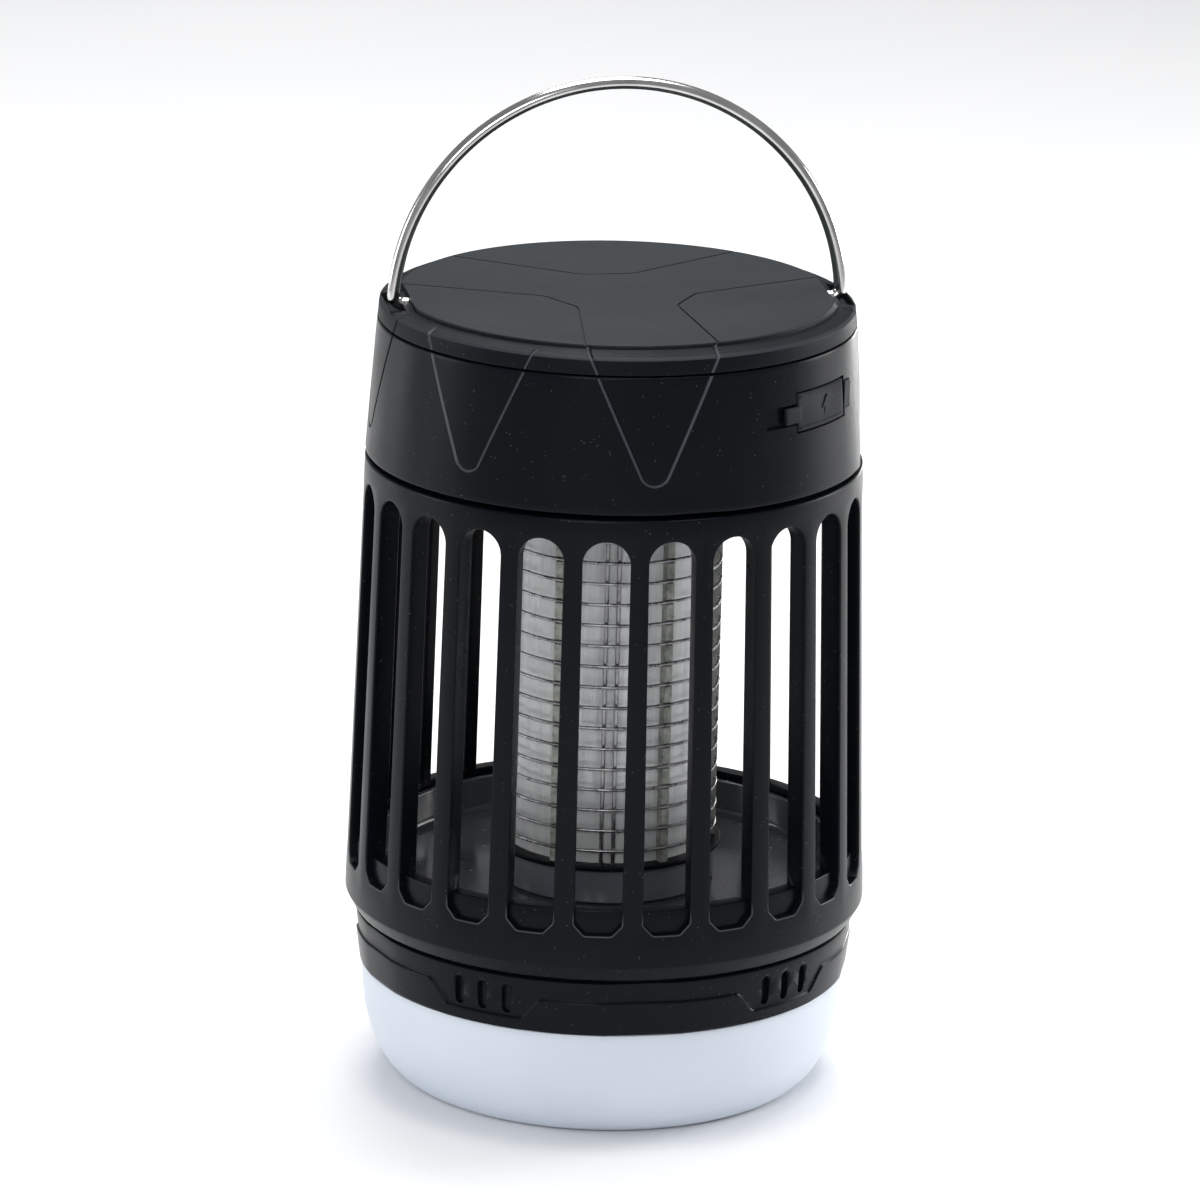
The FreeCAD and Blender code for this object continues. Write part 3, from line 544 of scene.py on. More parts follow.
def cageBay():
    s = cageSet
    halfAngle = 180.0 / s["bays"]
    outline = slotOutline()
    hole = [spot for spot, _ in outline]
    through = [(x, max(z, s["slotLow"])) for x, z in hole]
    rings = []

    def borderRing(radiusAt):
        return [polar(radiusAt(z), share * halfAngle, z) for _, (share, z) in outline]

    def ringAt(points, radiusAt, depth):
        ring = []
        for x, z in points:
            r = radiusAt(z) - depth
            ring.append(polar(r, math.degrees(math.asin(x / r)), z))
        return ring

    e = s["edge"]
    rings.append(borderRing(cageOuter))
    for k in range(5):
        a = math.radians(22.5 * k)
        rings.append(ringAt(grownOutline(hole, e * (1 - math.sin(a))), cageOuter, e * (1 - math.cos(a))))
    rings.append(ringAt(hole, cageOuter, s["recessDepth"]))
    for k in range(4):
        a = math.radians(30 * k)
        lowered = [(x, max(z, s["slotLow"] - 0.25 * (1 - math.sin(a)))) for x, z in hole]
        rings.append(ringAt(lowered, cageOuter, s["recessDepth"] + 0.25 * (1 - math.cos(a))))
    for k in range(5):
        a = math.radians(90 - 22.5 * k)
        grown = grownOutline(through, e * (1 - math.sin(a)))
        rings.append(ringAt(grown, cageBore, -e * (1 - math.cos(a))))
    rings.append(borderRing(cageBore))
    n = len(outline)
    verts = [p for ring in rings for p in ring]
    faces = []
    for k in range(len(rings) - 1):
        for i in range(n):
            j = (i + 1) % n
            faces.append((k * n + i, k * n + j, (k + 1) * n + j, (k + 1) * n + i))
    low = sorted({share for _, (share, z) in outline if z == s["bandLow"]})
    high = sorted({share for _, (share, z) in outline if z == s["bandTop"]})
    skirt = rounded([(cageBore(s["bandLow"]), s["bandLow"]), (40.9, 34.0), (34.6, 34.0), (34.6, 32.0), (40.0, 32.0),
                     (40.0, 29.6), (42.3, 29.6), (43.4, 30.3), (s["wideRadius"], s["wideHeight"]),
                     (cageOuter(s["bandLow"]), s["bandLow"])], [0, 0, 0.2, 0.2, 0, 0.2, 0.3, 0.5, 0.9, 0])
    rim = rounded([(cageOuter(s["bandTop"]), s["bandTop"]), (s["topRadius"], s["top"]),
                   (s["counterbore"], s["top"]), (s["counterbore"], s["bandTop"]),
                   (cageBore(s["bandTop"]), s["bandTop"])], [0, 0.45, 0.2, 0, 0])
    for shares, profile in ((low, skirt), (high, rim)):
        start = len(verts)
        rows = len(profile)
        verts += [polar(r, share * halfAngle, z) for share in shares for r, z in profile]
        for c in range(len(shares) - 1):
            for r in range(rows - 1):
                a = start + c * rows + r
                faces.append((a, a + rows, a + rows + 1, a + 1))
    # painted highlight: the soft edge of every recess below its slot is painted brighter
    values = [0.0] * len(verts)
    for k in (2, 3):
        for i, (x, z) in enumerate(hole):
            values[k * n + i] = 0.7 if z < 41.0 else 0.0
    return marked(meshObject("cage_shell", verts, faces), values)


cage = repeated(cageBay(), cageSet["bays"], first=cageSet["firstBay"], step=360 / cageSet["bays"], weld=0.004,
                finish=finishes["housing_black"])
placed(cleaned(cage, weld=0.003, sharp=50), "cage_rim", "cage_bars", "cage_base", "cage_flange")
print("cage:", len(cage.data.polygons), "faces")

collarSet = {"low": 19.9, "lowRadius": 41.9, "top": 29.6, "topRadius": 43.1, "proud": 0.35, "stepHigh": 26.0,
             "stepLow": 22.2, "windowLow": 7.0, "windowHigh": 10.9, "groups": [180 + 71.15 * i for i in range(-2, 3)],
             "slitPitch": 6.2, "slitWidth": 1.7, "slitLow": 22.6, "slitHigh": 27.6, "slitDepth": 1.0}


def collarRadius(z):
    s = collarSet
    return mixed(s["lowRadius"], s["topRadius"], (z - s["low"]) / (s["top"] - s["low"]))


def stepHeight(angle):
    # the proud skirt's upper edge dips under every group of slits
    s = collarSet
    nearest = min(abs((angle - g + 180) % 360 - 180) for g in s["groups"])
    x = 42.5 * math.radians(nearest)
    share = eased((x - s["windowLow"] + 0.2) / (s["windowHigh"] - s["windowLow"] + 0.4))
    return mixed(s["stepLow"], s["stepHigh"], share)


def makeCollar():
    s = collarSet
    angles = set()
    for g in s["groups"]:
        for x in (0, 2, 4, 5.5, 6.6, 7.0, 7.3, 7.7, 8.2, 8.8, 9.4, 10.0, 10.4, 10.8, 11.1, 11.5, 12.5, 14, 16,
                  18.5, 21.5):
            angles |= {round((g + sign * math.degrees(x / 42.5)) % 360, 4) for sign in (-1, 1)}
    angles = sorted(angles)
    rows = []
    for share in (0.0, 0.04, 0.1, 0.3, 0.6, 0.85):
        rows.append(lambda a, t=share: (mixed(s["low"], stepHeight(a), t), 1.0 - eased((0.04 - t) / 0.04) * 0.6))
    for drop, lift in ((0.42, 1.0), (0.3, 0.93), (0.15, 0.62), (0.05, 0.2), (-0.08, 0.0)):
        rows.append(lambda a, d=drop, k=lift: (stepHeight(a) - d, k))
    for share in (0.25, 0.5, 0.8, 1.0):
        rows.append(lambda a, t=share: (mixed(stepHeight(a) + 0.08, 29.0, t), 0.0))
    inner = [(43.0, 29.35), (42.75, 29.55), (42.5, 29.6), (33.6, 29.6), (33.6, 28.2), (39.6, 28.2), (39.6, 24.3),
             (41.0, 24.3), (41.0, 19.9)]

    def place(c, r):
        a = angles[c]
        if r < len(rows):
            z, lift = rows[r](a)
            return polar(collarRadius(z) + lift * s["proud"], a, z)
        radius, z = inner[r - len(rows)]
        return polar(radius, a, z)

    body = cleaned(loopGrid("collar_shell", len(angles), len(rows) + len(inner), place), sharp=42)
    tools = []
    for g in s["groups"]:
        for i in (-1, 0, 1):
            tools.append(slitTool(g + i * s["slitPitch"]))
    return carved(body, [joinTools("slit_tools", tools)])


def slitTool(angle):
    # flared stadium, so that the slit has a soft mouth
    s = collarSet
    half, middle = s["slitWidth"] / 2, (s["slitLow"] + s["slitHigh"]) / 2
    straight = (s["slitHigh"] - s["slitLow"]) / 2 - half
    outline = []
    for k in range(9):
        a = math.pi * k / 8
        outline.append((math.cos(a), math.sin(a), 1))
    for k in range(9):
        a = math.pi + math.pi * k / 8
        outline.append((math.cos(a), math.sin(a), -1))
    levels = ((-s["slitDepth"], 1.0), (-0.16, 1.0), (-0.05, 1.05), (0.05, 1.2), (0.8, 2.0))
    n = len(outline)
    verts = []
    for depth, grow in levels:
        for x, y, side in outline:
            verts.append(Vector((x * half * grow, y * half * grow + side * straight, depth)) * mm)
    faces = [tuple(reversed(range(n))), tuple(range((len(levels) - 1) * n, len(levels) * n))]
    for k in range(len(levels) - 1):
        faces += [(k * n + i, k * n + (i + 1) % n, (k + 1) * n + (i + 1) % n, (k + 1) * n + i) for i in range(n)]
    tool = meshObject("slit_tool", verts, faces)
    return moved(tool, facing(angle, collarRadius(middle), middle))


def joinTools(name, tools):
    tool = combined(name, tools)
    return cleaned(tool, weld=0.0001)


collar = makeCollar()
placed(cleaned(collar, weld=0.001, sharp=42), "collar")
print("collar:", len(collar.data.polygons), "faces")

domeSet = {"radius": 41.8, "flat": 33.2, "curveTop": 18.2, "top": 19.75, "wall": 1.5, "lipRadius": 40.8,
           "lipTop": 23.5}


def makeDome():
    s = domeSet
    outline = []
    for i in range(33):
        a = math.radians(90 * i / 32)
        outline.append((s["flat"] + (s["radius"] - s["flat"]) * math.sin(a), s["curveTop"] * (1 - math.cos(a))))
    outline += [(s["radius"], s["top"] - 0.25), (s["radius"] - 0.08, s["top"] - 0.06), (s["radius"] - 0.25, s["top"]),
                (s["lipRadius"], s["top"]), (s["lipRadius"], s["lipTop"]), (s["lipRadius"] - s["wall"], s["lipTop"]),
                (s["lipRadius"] - s["wall"], s["top"])]
    inner = []
    for i in range(25):
        a = math.radians(90 * i / 24)
        across, down = s["radius"] - s["flat"] - s["wall"], s["curveTop"] - s["wall"]
        inner.append((s["flat"] + across * math.sin(a), s["curveTop"] - down * math.cos(a)))
    outline += list(reversed(inner))
    outline += [(r, s["wall"]) for r in (26.0, 16.0, 6.0, 0.0)]
    outline += [(r, 0.0) for r in (0.0, 6.0, 16.0, 26.0, 32.0)]
    return lathe("lamp_dome", outline, 192)


placed(makeDome(), "diffuser_dome")
print("dome made")

shellSet = {"low": 111.0, "high": 134.2, "lowRadius": 42.5, "highRadius": 40.75, "wall": 2.0, "floorTop": 113.6,
            "panels": (-135, -90, -45, 0, 90, 180), "tip": 115.7, "tipHalf": 1.8, "topHalf": 9.93, "groove": 0.7,
            "depth": 0.34, "highlightFrom": 0.03, "highlightTo": 0.36, "tipRound": 1.7,
            "flapAngle": 48.0, "flapHalf": 10.6, "flapLow": 122.1, "flapHigh": 129.1,
            "flapDepth": 1.4, "thumbAngle": 33.0, "thumbHalf": 5.0, "thumbLow": 123.6, "thumbHigh": 127.2,
            "thumbDepth": 0.9}
grooveSteps = (-0.15, 0.0, 0.06, 0.12, 0.18, 0.35, 0.52, 0.58, 0.64, 0.70, 0.85, 1.05, 1.3, 1.6)


def shellRadius(z):
    s = shellSet
    return mixed(s["lowRadius"], s["highRadius"], (z - s["low"]) / (s["high"] - s["low"]))


def valley(inside, width, depth):
    # cross-section of an engraved line, measured inwards from its outer edge
    side = width * 0.44
    return depth * max(0.0, min(1.0, inside / side, (width - inside) / side))


def lineHighlight(inside):
    # painted highlight: the panel line's outer side is painted brighter than the shell
    return 1.0 if shellSet["highlightFrom"] <= inside <= shellSet["highlightTo"] else 0.0


def panelHalf(z):
    s = shellSet
    return mixed(s["tipHalf"], s["topHalf"], max(0.0, (z - s["tip"]) / (s["high"] - s["tip"])))


panelLean = math.cos(math.atan((shellSet["topHalf"] - shellSet["tipHalf"]) / (shellSet["high"] - shellSet["tip"])))


def panelColumns():
    # every column keeps its place beside a panel line while the line leans
    s = shellSet
    columns = []
    for k, centre in enumerate(s["panels"]):
        following = s["panels"][(k + 1) % len(s["panels"])] + (360 if k == len(s["panels"]) - 1 else 0)
        columns += [(centre, -1, off) for off in grooveSteps]
        columns += [(centre, 0, share) for share in (0.2, 0.4, 0.6, 0.8)]
        columns += [(centre, 1, off) for off in reversed(grooveSteps)]
        gap = following - centre
        if centre == 0:
            fixed = [18, 22, 26, 27.6]
            for low, high in ((28.0, 38.0), (37.4, 58.6)):
                fixed += [low + d for d in (0.0, 0.08, 0.16, 0.24)] + [high - d for d in (0.24, 0.16, 0.08, 0.0)]
            fixed += steps(30, 36, 3) + steps(40, 57, 9) + [59.2, 62, 66, 70]
            columns += [(0, 2, a) for a in sorted(set(fixed))]
        else:
            columns += [(centre, 3, (share, gap)) for share in steps(0, 1, 8 if gap < 60 else 20)[1:-1]]
    return columns


def columnAngle(column, z):
    centre, side, value = column
    turn = math.degrees(1 / shellRadius(z))
    half = panelHalf(z)
    innermost = half - grooveSteps[-1] / panelLean
    outermost = half - grooveSteps[0] / panelLean
    if side in (-1, 1):
        return centre + side * (half - value / panelLean) * turn
    if side == 0:
        return centre + mixed(-innermost, innermost, value) * turn
    if side == 2:
        return value
    share, gap = value
    return mixed(centre + outermost * turn, centre + gap - outermost * turn, share)


def panelInside(column, z):
    # how far a spot lies inside the outline of its panel, with the outline's rounded tip
    s = shellSet
    side, value = column[1:]
    if side not in (-1, 0, 1):
        return -1.0
    across = value if side else grooveSteps[-1] + 1.0
    up = z - s["tip"]
    corner = s["tipRound"]
    if across < corner and up < corner:
        return corner - math.hypot(corner - across, corner - up)
    return min(across, up)


def wallDepth(column, angle, z):
    s = shellSet
    side = column[1]
    arc = math.radians(1) * shellRadius(z)
    depth = valley(panelInside(column, z), s["groove"], s["depth"])
    if side == 2:
        for middle, half, low, high, deep in (
                (s["flapAngle"], s["flapHalf"], s["flapLow"], s["flapHigh"], s["flapDepth"]),
                (s["thumbAngle"], s["thumbHalf"], s["thumbLow"], s["thumbHigh"], s["thumbDepth"])):
            inside = min((half - abs(angle - middle)) * arc, z - low, high - z)
            depth = max(depth, deep * eased(inside / 0.17))
    return depth


def shellHeights():
    s = shellSet
    heights = {111.4, 112.2, 113.4, 114.6}
    heights |= {round(s["tip"] + d, 3) for d in (-0.3, -0.12, 0, 0.07, 0.14, 0.21, 0.28, 0.35, 0.42, 0.49, 0.56, 0.63,
                                               0.7, 0.78, 0.9, 1.05, 1.2, 1.35, 1.5, 1.7, 2.0)}
    heights |= set(steps(118.5, 133.5, 15))
    for low, high in ((s["flapLow"], s["flapHigh"]), (s["thumbLow"], s["thumbHigh"])):
        heights |= {round(low + d, 3) for d in (0, 0.06, 0.12, 0.18)}
        heights |= {round(high - d, 3) for d in (0, 0.06, 0.12, 0.18)}
    return sorted(heights) + [133.9]


def makeShell():
    s = shellSet
    columns = panelColumns()
    heights = shellHeights()
    top, inner = s["high"], s["highRadius"] - s["wall"]
    foot = [(41.95, 111.02), (42.1, 111.0), (42.32, 111.08), (42.45, 111.22)]
    head = [(40.73, 134.05), (40.64, 134.16), (40.5, top), (inner + 0.1, top), (inner, top - 0.1),
            (inner + 0.2, 124.0), (40.2, s["floorTop"]), (3.0, s["floorTop"]), (3.0, 112.0), (40.4, 112.0)]

    def place(c, r):
        column = columns[c]
        if r < len(foot) or r >= len(foot) + len(heights):
            radius, z = foot[r] if r < len(foot) else head[r - len(foot) - len(heights)]
            angle = columnAngle(column, min(max(z, s["low"]), s["high"]))
            lowered = wallDepth(column, angle, z) if z > 134 and radius > 40.4 else 0.0
            return polar(radius - lowered, angle, z)
        z = heights[r - len(foot)]
        angle = columnAngle(column, z)
        return polar(shellRadius(z) - wallDepth(column, angle, z), angle, z)

    # painted highlight on the outer side of every panel line
    def mark(c, r):
        if r < len(foot) or r >= len(foot) + len(heights):
            return 0.0
        return lineHighlight(panelInside(columns[c], heights[r - len(foot)]))

    rows = len(foot) + len(heights) + len(head)
    body = marked(loopGrid("head_shell", len(columns), rows, place), gridValues(len(columns), rows, mark))
    cleaned(body, weld=0.0005, sharp=48)
    tools = []
    z = (s["flapLow"] + s["flapHigh"]) / 2
    plug = softened(block("plug_hole", (-4.9, -2.1, -6), (4.9, 2.1, -0.8)), 0.8, 3)
    tools.append(moved(plug, facing(47.0, shellRadius(z), z)))
    strap = block("strap_hole", (-1.3, -2.4, -6), (1.3, 2.4, 2))
    tools.append(moved(strap, facing(60.4, shellRadius(z), z)))
    for angle, size in ((135.0, 4.6), (119.0, 1.0)):
        bore = lathe("bore", [(0, -6), (size, -6), (size, -0.25), (size + 0.2, 0.02), (size + 0.6, 0.6), (0, 0.6)], 64)
        tools.append(moved(bore, facing(angle, shellRadius(126.0), 126.0)))
    carved(body, tools)
    posts = []
    for x, y, radius, high in ((-33.5, 0, 2.9, 127.0), (12, -33.2, 2.9, 127.0), (12, 33.2, 2.9, 127.0),
                               (26, -15, 2.7, 117.0), (26, 15, 2.7, 117.0), (-25.5, 0, 2.0, 117.0),
                               (31, -2, 2.3, 123.0), (8, -27, 2.3, 123.0), (8, 27, 2.3, 123.0)):
        post = lathe("post", rounded([(radius, 113.4), (radius, high), (radius * 0.45, high), (radius * 0.45, 113.4)],
                                     [0, 0.3, 0.15, 0]), 32)
        posts.append(moved(post, Matrix.Translation((x * mm, y * mm, 0))))
    return combined("head_shell", [body] + posts)


shell = makeShell()
placed(cleaned(shell, weld=0.0005, sharp=48), "upper_housing")
print("head shell:", len(shell.data.polygons), "faces")

capSet = {"under": 134.5, "discRadius": 37.0, "discTop": 138.76, "rimRadius": 40.5, "rimTop": 137.4,
          "lineWidth": 0.4, "lineDepth": 0.22, "starRadius": 13.2, "lineAtSeam": 14.0, "lineAtRim": 15.9,
          "lineAtDisc": 17.2, "softEdge": 0.1, "pinHeight": 137.2}


def capShoulder():
    # from the seam up over the bright rim, then across the shoulder to the disc's foot
    s = capSet
    return rounded([(36.5, s["under"]), (40.7, s["under"]), (s["rimRadius"], 136.95), (40.0, s["rimTop"]),
                    (37.95, 137.75), (37.3, 138.02), (37.05, 138.5), (36.5, 138.5)],
                   [0, 0.15, 0.3, 0.3, 0.3, 0.3, 0, 0], 4)


def capRim():
    # the wall's panel lines run on up over the rim, and at the front over the shoulder as well
    s = capSet
    outline = capShoulder()
    panels = shellSet["panels"]
    columns = []
    for k, centre in enumerate(panels):
        following = panels[(k + 1) % len(panels)] + (360 if k == len(panels) - 1 else 0)
        columns += [(centre, -1, off) for off in grooveSteps] + [(centre, 0, share) for share in (0.25, 0.5, 0.75)]
        columns += [(centre, 1, off) for off in reversed(grooveSteps)]
        columns += [(centre, 3, (share, following - centre)) for share in steps(0, 1, 24)[1:-1]]

    def place(c, r):
        centre, side, value = columns[c]
        radius, z = outline[r]
        turn = math.degrees(1 / max(radius, 37.0))
        if z <= s["rimTop"] and radius > 39.9:
            half = mixed(s["lineAtSeam"], s["lineAtRim"], (z - s["under"]) / (s["rimTop"] - s["under"]))
        else:
            half = mixed(s["lineAtRim"], s["lineAtDisc"], max(0.0, min(1.0, (40.0 - radius) / 3.0)))
        edge = half - grooveSteps[0] * turn / panelLean
        if side in (-1, 1):
            angle = centre + side * (half - value * turn / panelLean)
        elif side == 0:
            angle = centre + mixed(-1, 1, value) * (half - grooveSteps[-1] * turn / panelLean)
        else:
            angle = mixed(centre + edge, centre + value[1] - edge, value[0])
        runs = radius > 39.7 if centre else radius > 36.9
        if side in (-1, 1) and runs and z > s["under"]:
            cut = valley(value, shellSet["groove"], 0.3)
            if radius > 40.35:
                radius -= cut
            else:
                z -= cut
        return polar(radius, angle, z)

    def mark(c, r):
        centre, side, value = columns[c]
        radius, z = outline[r]
        if z <= s["under"] or radius < (39.7 if centre else 36.9):
            return 0.0
        # painted highlight: a thin band along the rim's outer edge, and the panel lines' outer sides
        edge = 0.3 if 136.9 < z <= s["rimTop"] and radius > 39.9 else 0.0
        return max(edge, 0.8 * lineHighlight(value) if side in (-1, 1) else 0.0)

    body = loopGrid("cap_rim", len(columns), len(outline), place)
    return cleaned(marked(body, gridValues(len(columns), len(outline), mark)), sharp=42)


def pocketTools():
    # flats at both ends of the disc, pockets for the bail's legs and bores for its pins
    s = capSet
    tools = []
    for side in (-1, 1):
        for low, high, half, floor in ((35.7, 42.0, 10.0, 137.8), (37.15, 39.65, 7.0, 135.9),
                                       (36.6, 37.25, 2.6, 135.9)):
            ends = sorted((side * low, side * high))
            tools.append(block("pocket", (ends[0], -half, floor), (ends[1], half, 140.5)))
        hole = lathe("pin_hole", [(0, 0), (1.2, 0), (1.2, 5.6), (0, 5.6)], 40)
        turn = Matrix.Rotation(side * math.pi / 2, 4, "Y")
        tools.append(moved(hole, Matrix.Translation((side * 32.6 * mm, 0, s["pinHeight"] * mm)) @ turn))
    return tools


def starTool():
    # closed line round the three-armed star, cut as three strips, one for each arm
    s = capSet
    half = s["lineWidth"] / 2
    tools = []
    for arm in (60, 180, 300):
        way = [polar(s["discRadius"] + 1.5, arm - 43.0, 0) / mm, polar(s["starRadius"], arm - 20, 0) / mm,
               polar(s["starRadius"], arm + 20, 0) / mm, polar(s["discRadius"] + 1.5, arm + 43.0, 0) / mm]
        path = [way[0]]
        for corner in (1, 2):
            a = way[corner] + (way[corner - 1] - way[corner]).normalized() * 1.2
            b = way[corner] + (way[corner + 1] - way[corner]).normalized() * 1.2
            path += [a * (1 - t) ** 2 + way[corner] * 2 * t * (1 - t) + b * t * t for t in steps(0, 1, 6)]
        path.append(way[3])
        left, right = [], []
        for i, p in enumerate(path):
            along = (path[min(i + 1, len(path) - 1)] - path[max(i - 1, 0)]).normalized()
            across = Vector((-along.y, along.x, 0)) * half
            left.append((p + across)[:2])
            right.append((p - across)[:2])
        tools.append(slab("star_tool", left + right[::-1], s["discTop"] - s["lineDepth"], s["discTop"] + 1))
        cleaned(tools[-1], weld=0.0001)
    return tools


def makeCap():
    s = capSet
    outline = rounded([(0.0, s["discTop"]), (0.0, 134.6), (s["discRadius"], 134.6), (s["discRadius"], s["discTop"])],
                      [0, 0, 0, 0.35], 5)
    disc = carved(slabDisc("cap_disc", outline), starTool() + pocketTools())
    softened(disc, s["softEdge"], 3, 50)
    rim = softened(carved(capRim(), pocketTools()), 0.12, 2, 60)
    pieces = [cleaned(disc, weld=0.0005, sharp=35), cleaned(rim, weld=0.0005, sharp=42)]
    for x, y in ((-33.5, 0.0), (12.0, -33.2), (12.0, 33.2)):
        outline = rounded([(2.9, 134.7), (1.25, 134.7), (1.25, 127.0), (2.9, 127.0)], [0, 0, 0.1, 0.3])
        post = lathe("cap_post", outline, 32)
        pieces.append(moved(post, Matrix.Translation((x * mm, y * mm, 0))))
    return combined("top_cap_shell", pieces)


def slabDisc(name, outline, count=256):
    # a disc with one flat face on top, so that the lines cut cleanly
    profile = [p for p in outline if p[0] > 0.001]
    low = [p for p in profile if p[1] < 135]
    rise = [p for p in profile if p[1] >= 135]
    rows = low + rise
    verts = [polar(r, 360 * c / count, z) for r, z in rows for c in range(count)]
    faces = []
    for k in range(len(rows) - 1):
        for c in range(count):
            d = (c + 1) % count
            faces.append((k * count + c, k * count + d, (k + 1) * count + d, (k + 1) * count + c))
    faces.append(tuple(reversed(range(count))))
    faces.append(tuple((len(rows) - 1) * count + c for c in range(count)))
    return cleaned(meshObject(name, verts, faces), weld=0.0005)


cap = makeCap()
placed(cap, "top_cap")
print("cap:", len(cap.data.polygons), "faces")

bailSet = {"pivot": 137.2, "centre": 136.5, "radius": 38.4, "wire": 1.1, "pinEnd": 33.0, "bend": 1.6, "around": 28}


def makeBail():
    s = bailSet
    start = math.asin((s["pivot"] + s["bend"] - s["centre"]) / s["radius"])
    foot = s["radius"] * math.cos(start) - s["bend"]
    path = [Vector((s["pinEnd"], 0, s["pivot"])), Vector((foot, 0, s["pivot"]))]
    for i in range(1, 13):
        a = math.radians(90 * i / 12)
        path.append(Vector((foot + s["bend"] * math.sin(a), 0, s["pivot"] + s["bend"] * (1 - math.cos(a)))))
    count = 120
    for i in range(1, count):
        a = mixed(start, math.pi - start, i / count)
        path.append(Vector((s["radius"] * math.cos(a), 0, s["centre"] + s["radius"] * math.sin(a))))
    path += [Vector((-p.x, 0, p.z)) for p in reversed(path[:14])]
    verts, faces, n = [], [], s["around"]
    last = len(path) - 1
    rings = [(0, s["wire"] * 0.001), (0, s["wire"] * 0.75)] + [(i, s["wire"]) for i in range(last + 1)]
    rings += [(last, s["wire"] * 0.75), (last, s["wire"] * 0.001)]
    for order, (i, size) in enumerate(rings):
        along = (path[min(i + 1, last)] - path[max(i - 1, 0)]).normalized()
        side = Vector((0, 1, 0))
        up = along.cross(side)
        shift = Vector((0, 0, 0))
        if 1 < order < len(rings) - 2 and i in (0, last):
            shift = along * (0.25 if i == 0 else -0.25)
        for k in range(n):
            a = 2 * math.pi * k / n
            verts.append((path[i] + shift + (side * math.cos(a) + up * math.sin(a)) * size) * mm)
    for i in range(len(rings) - 1):
        faces += [(i * n + k, i * n + (k + 1) % n, (i + 1) * n + (k + 1) % n, (i + 1) * n + k) for k in range(n)]
    faces += [tuple(range(n)), tuple(reversed(range((len(rings) - 1) * n, len(rings) * n)))]
    return cleaned(meshObject("bail_wire", verts, faces), weld=0.0001, sharp=60)


placed(makeBail(), "handle_wire")
print("bail made")

traySet = {"outer": 40.2, "floor": 34.0, "wall": 1.2, "rim": 41.4, "hole": 14.4, "hub": 35.8}
s = traySet
tray = lathe("collecting_tray", rounded([
    (s["outer"], s["floor"]), (s["outer"], s["rim"]), (s["outer"] - s["wall"], s["rim"]),
    (s["outer"] - s["wall"], s["floor"] + s["wall"]), (28.0, s["floor"] + s["wall"] - 0.05),
    (s["hole"] + s["wall"], s["floor"] + s["wall"]), (s["hole"] + s["wall"], s["hub"]), (s["hole"], s["hub"]),
    (s["hole"], s["floor"])], [0.5, 0.35, 0.35, 1.6, 0, 0.3, 0.2, 0.2, 0.1], 6))
placed(tray, "tray_floor", "tray_rim")
coreSet = {"tube": 17.4, "bore": 15.8, "low": 38.1, "high": 110.2, "foot": 18.8, "footLow": 36.2, "footTop": 41.6,
           "skirtLow": 35.5}
s = coreSet
foot = lathe("core_foot_ring", rounded([
    (s["tube"] + 0.05, s["footTop"]), (s["tube"] + 0.05, s["footLow"] + 0.7), (14.6, s["footLow"] + 0.7),
    (14.6, s["footLow"]), (s["tube"] + 0.05, s["footLow"]), (s["tube"] + 0.05, s["skirtLow"]),
    (s["foot"], s["skirtLow"]), (s["foot"], s["footTop"])], [0.2, 0, 0, 0.1, 0, 0.1, 0.4, 0.3], 4))
placed(foot, "core_foot", finish=smokedFoot)
tube = lathe("clear_core", rounded([(s["bore"], s["low"]), (s["tube"], s["low"]), (s["tube"], s["high"]),
                                    (s["bore"], s["high"])], 0.2, 3))
placed(tube, "core_tube")
for node, low, high in (("grid_bottom_ring", 41.6, 42.4), ("grid_top_ring", 104.6, 106.4)):
    outline = rounded([(17.45, low), (19.9, low), (19.9, high), (17.45, high)], [0, 0.25, 0.25, 0], 4)
    placed(lathe(node + "_moulding", outline), node)

gridSet = {"ring": 18.84, "wire": 0.28, "first": 45.0, "pitch": 3.65, "turns": 17, "bus": 17.92,
           "busAngles": (-5.0, -11.5), "rod": 0.36, "rodLow": 41.8, "rodHigh": 106.2, "ribs": 6, "firstRib": 23.0,
           "ribHalf": 0.7, "ribOuter": 19.0, "ribInner": 17.45}


def wireSet(start, node):
    s = gridSet
    circle = [(s["ring"] + s["wire"] * math.cos(math.radians(36 * k)), s["wire"] * math.sin(math.radians(36 * k)))
              for k in range(10)]
    turn = lathe("turn", [(r, z + s["first"] + start * s["pitch"]) for r, z in circle], 120)
    turns = repeated(turn, (s["turns"] + 1 - start) // 2, rise=2 * s["pitch"], finish=finishes["grid_steel"])
    spot = polar(s["bus"], s["busAngles"][start], 0)
    rod = lathe("rod", rounded([(0, s["rodLow"]), (s["rod"], s["rodLow"]), (s["rod"], s["rodHigh"]), (0, s["rodHigh"])],
                               [0, 0.1, 0.1, 0]), 16)
    moved(rod, Matrix.Translation(spot))
    bead = lathe("bead", [(0, -0.4), (0.3, -0.3), (0.42, 0.0), (0.3, 0.3), (0, 0.4)], 14)
    moved(bead, Matrix.Translation(polar(s["bus"] + 0.5, s["busAngles"][start], s["first"] + start * s["pitch"])))
    beads = repeated(bead, (s["turns"] + 1 - start) // 2, rise=2 * s["pitch"], finish=finishes["grid_steel"])
    joint = combined(node + "_turns", [turns, rod, beads])
    return placed(cleaned(joint, weld=0.0005, sharp=60), node)


wireSet(0, "grid_wire_live")
wireSet(1, "grid_wire_return")


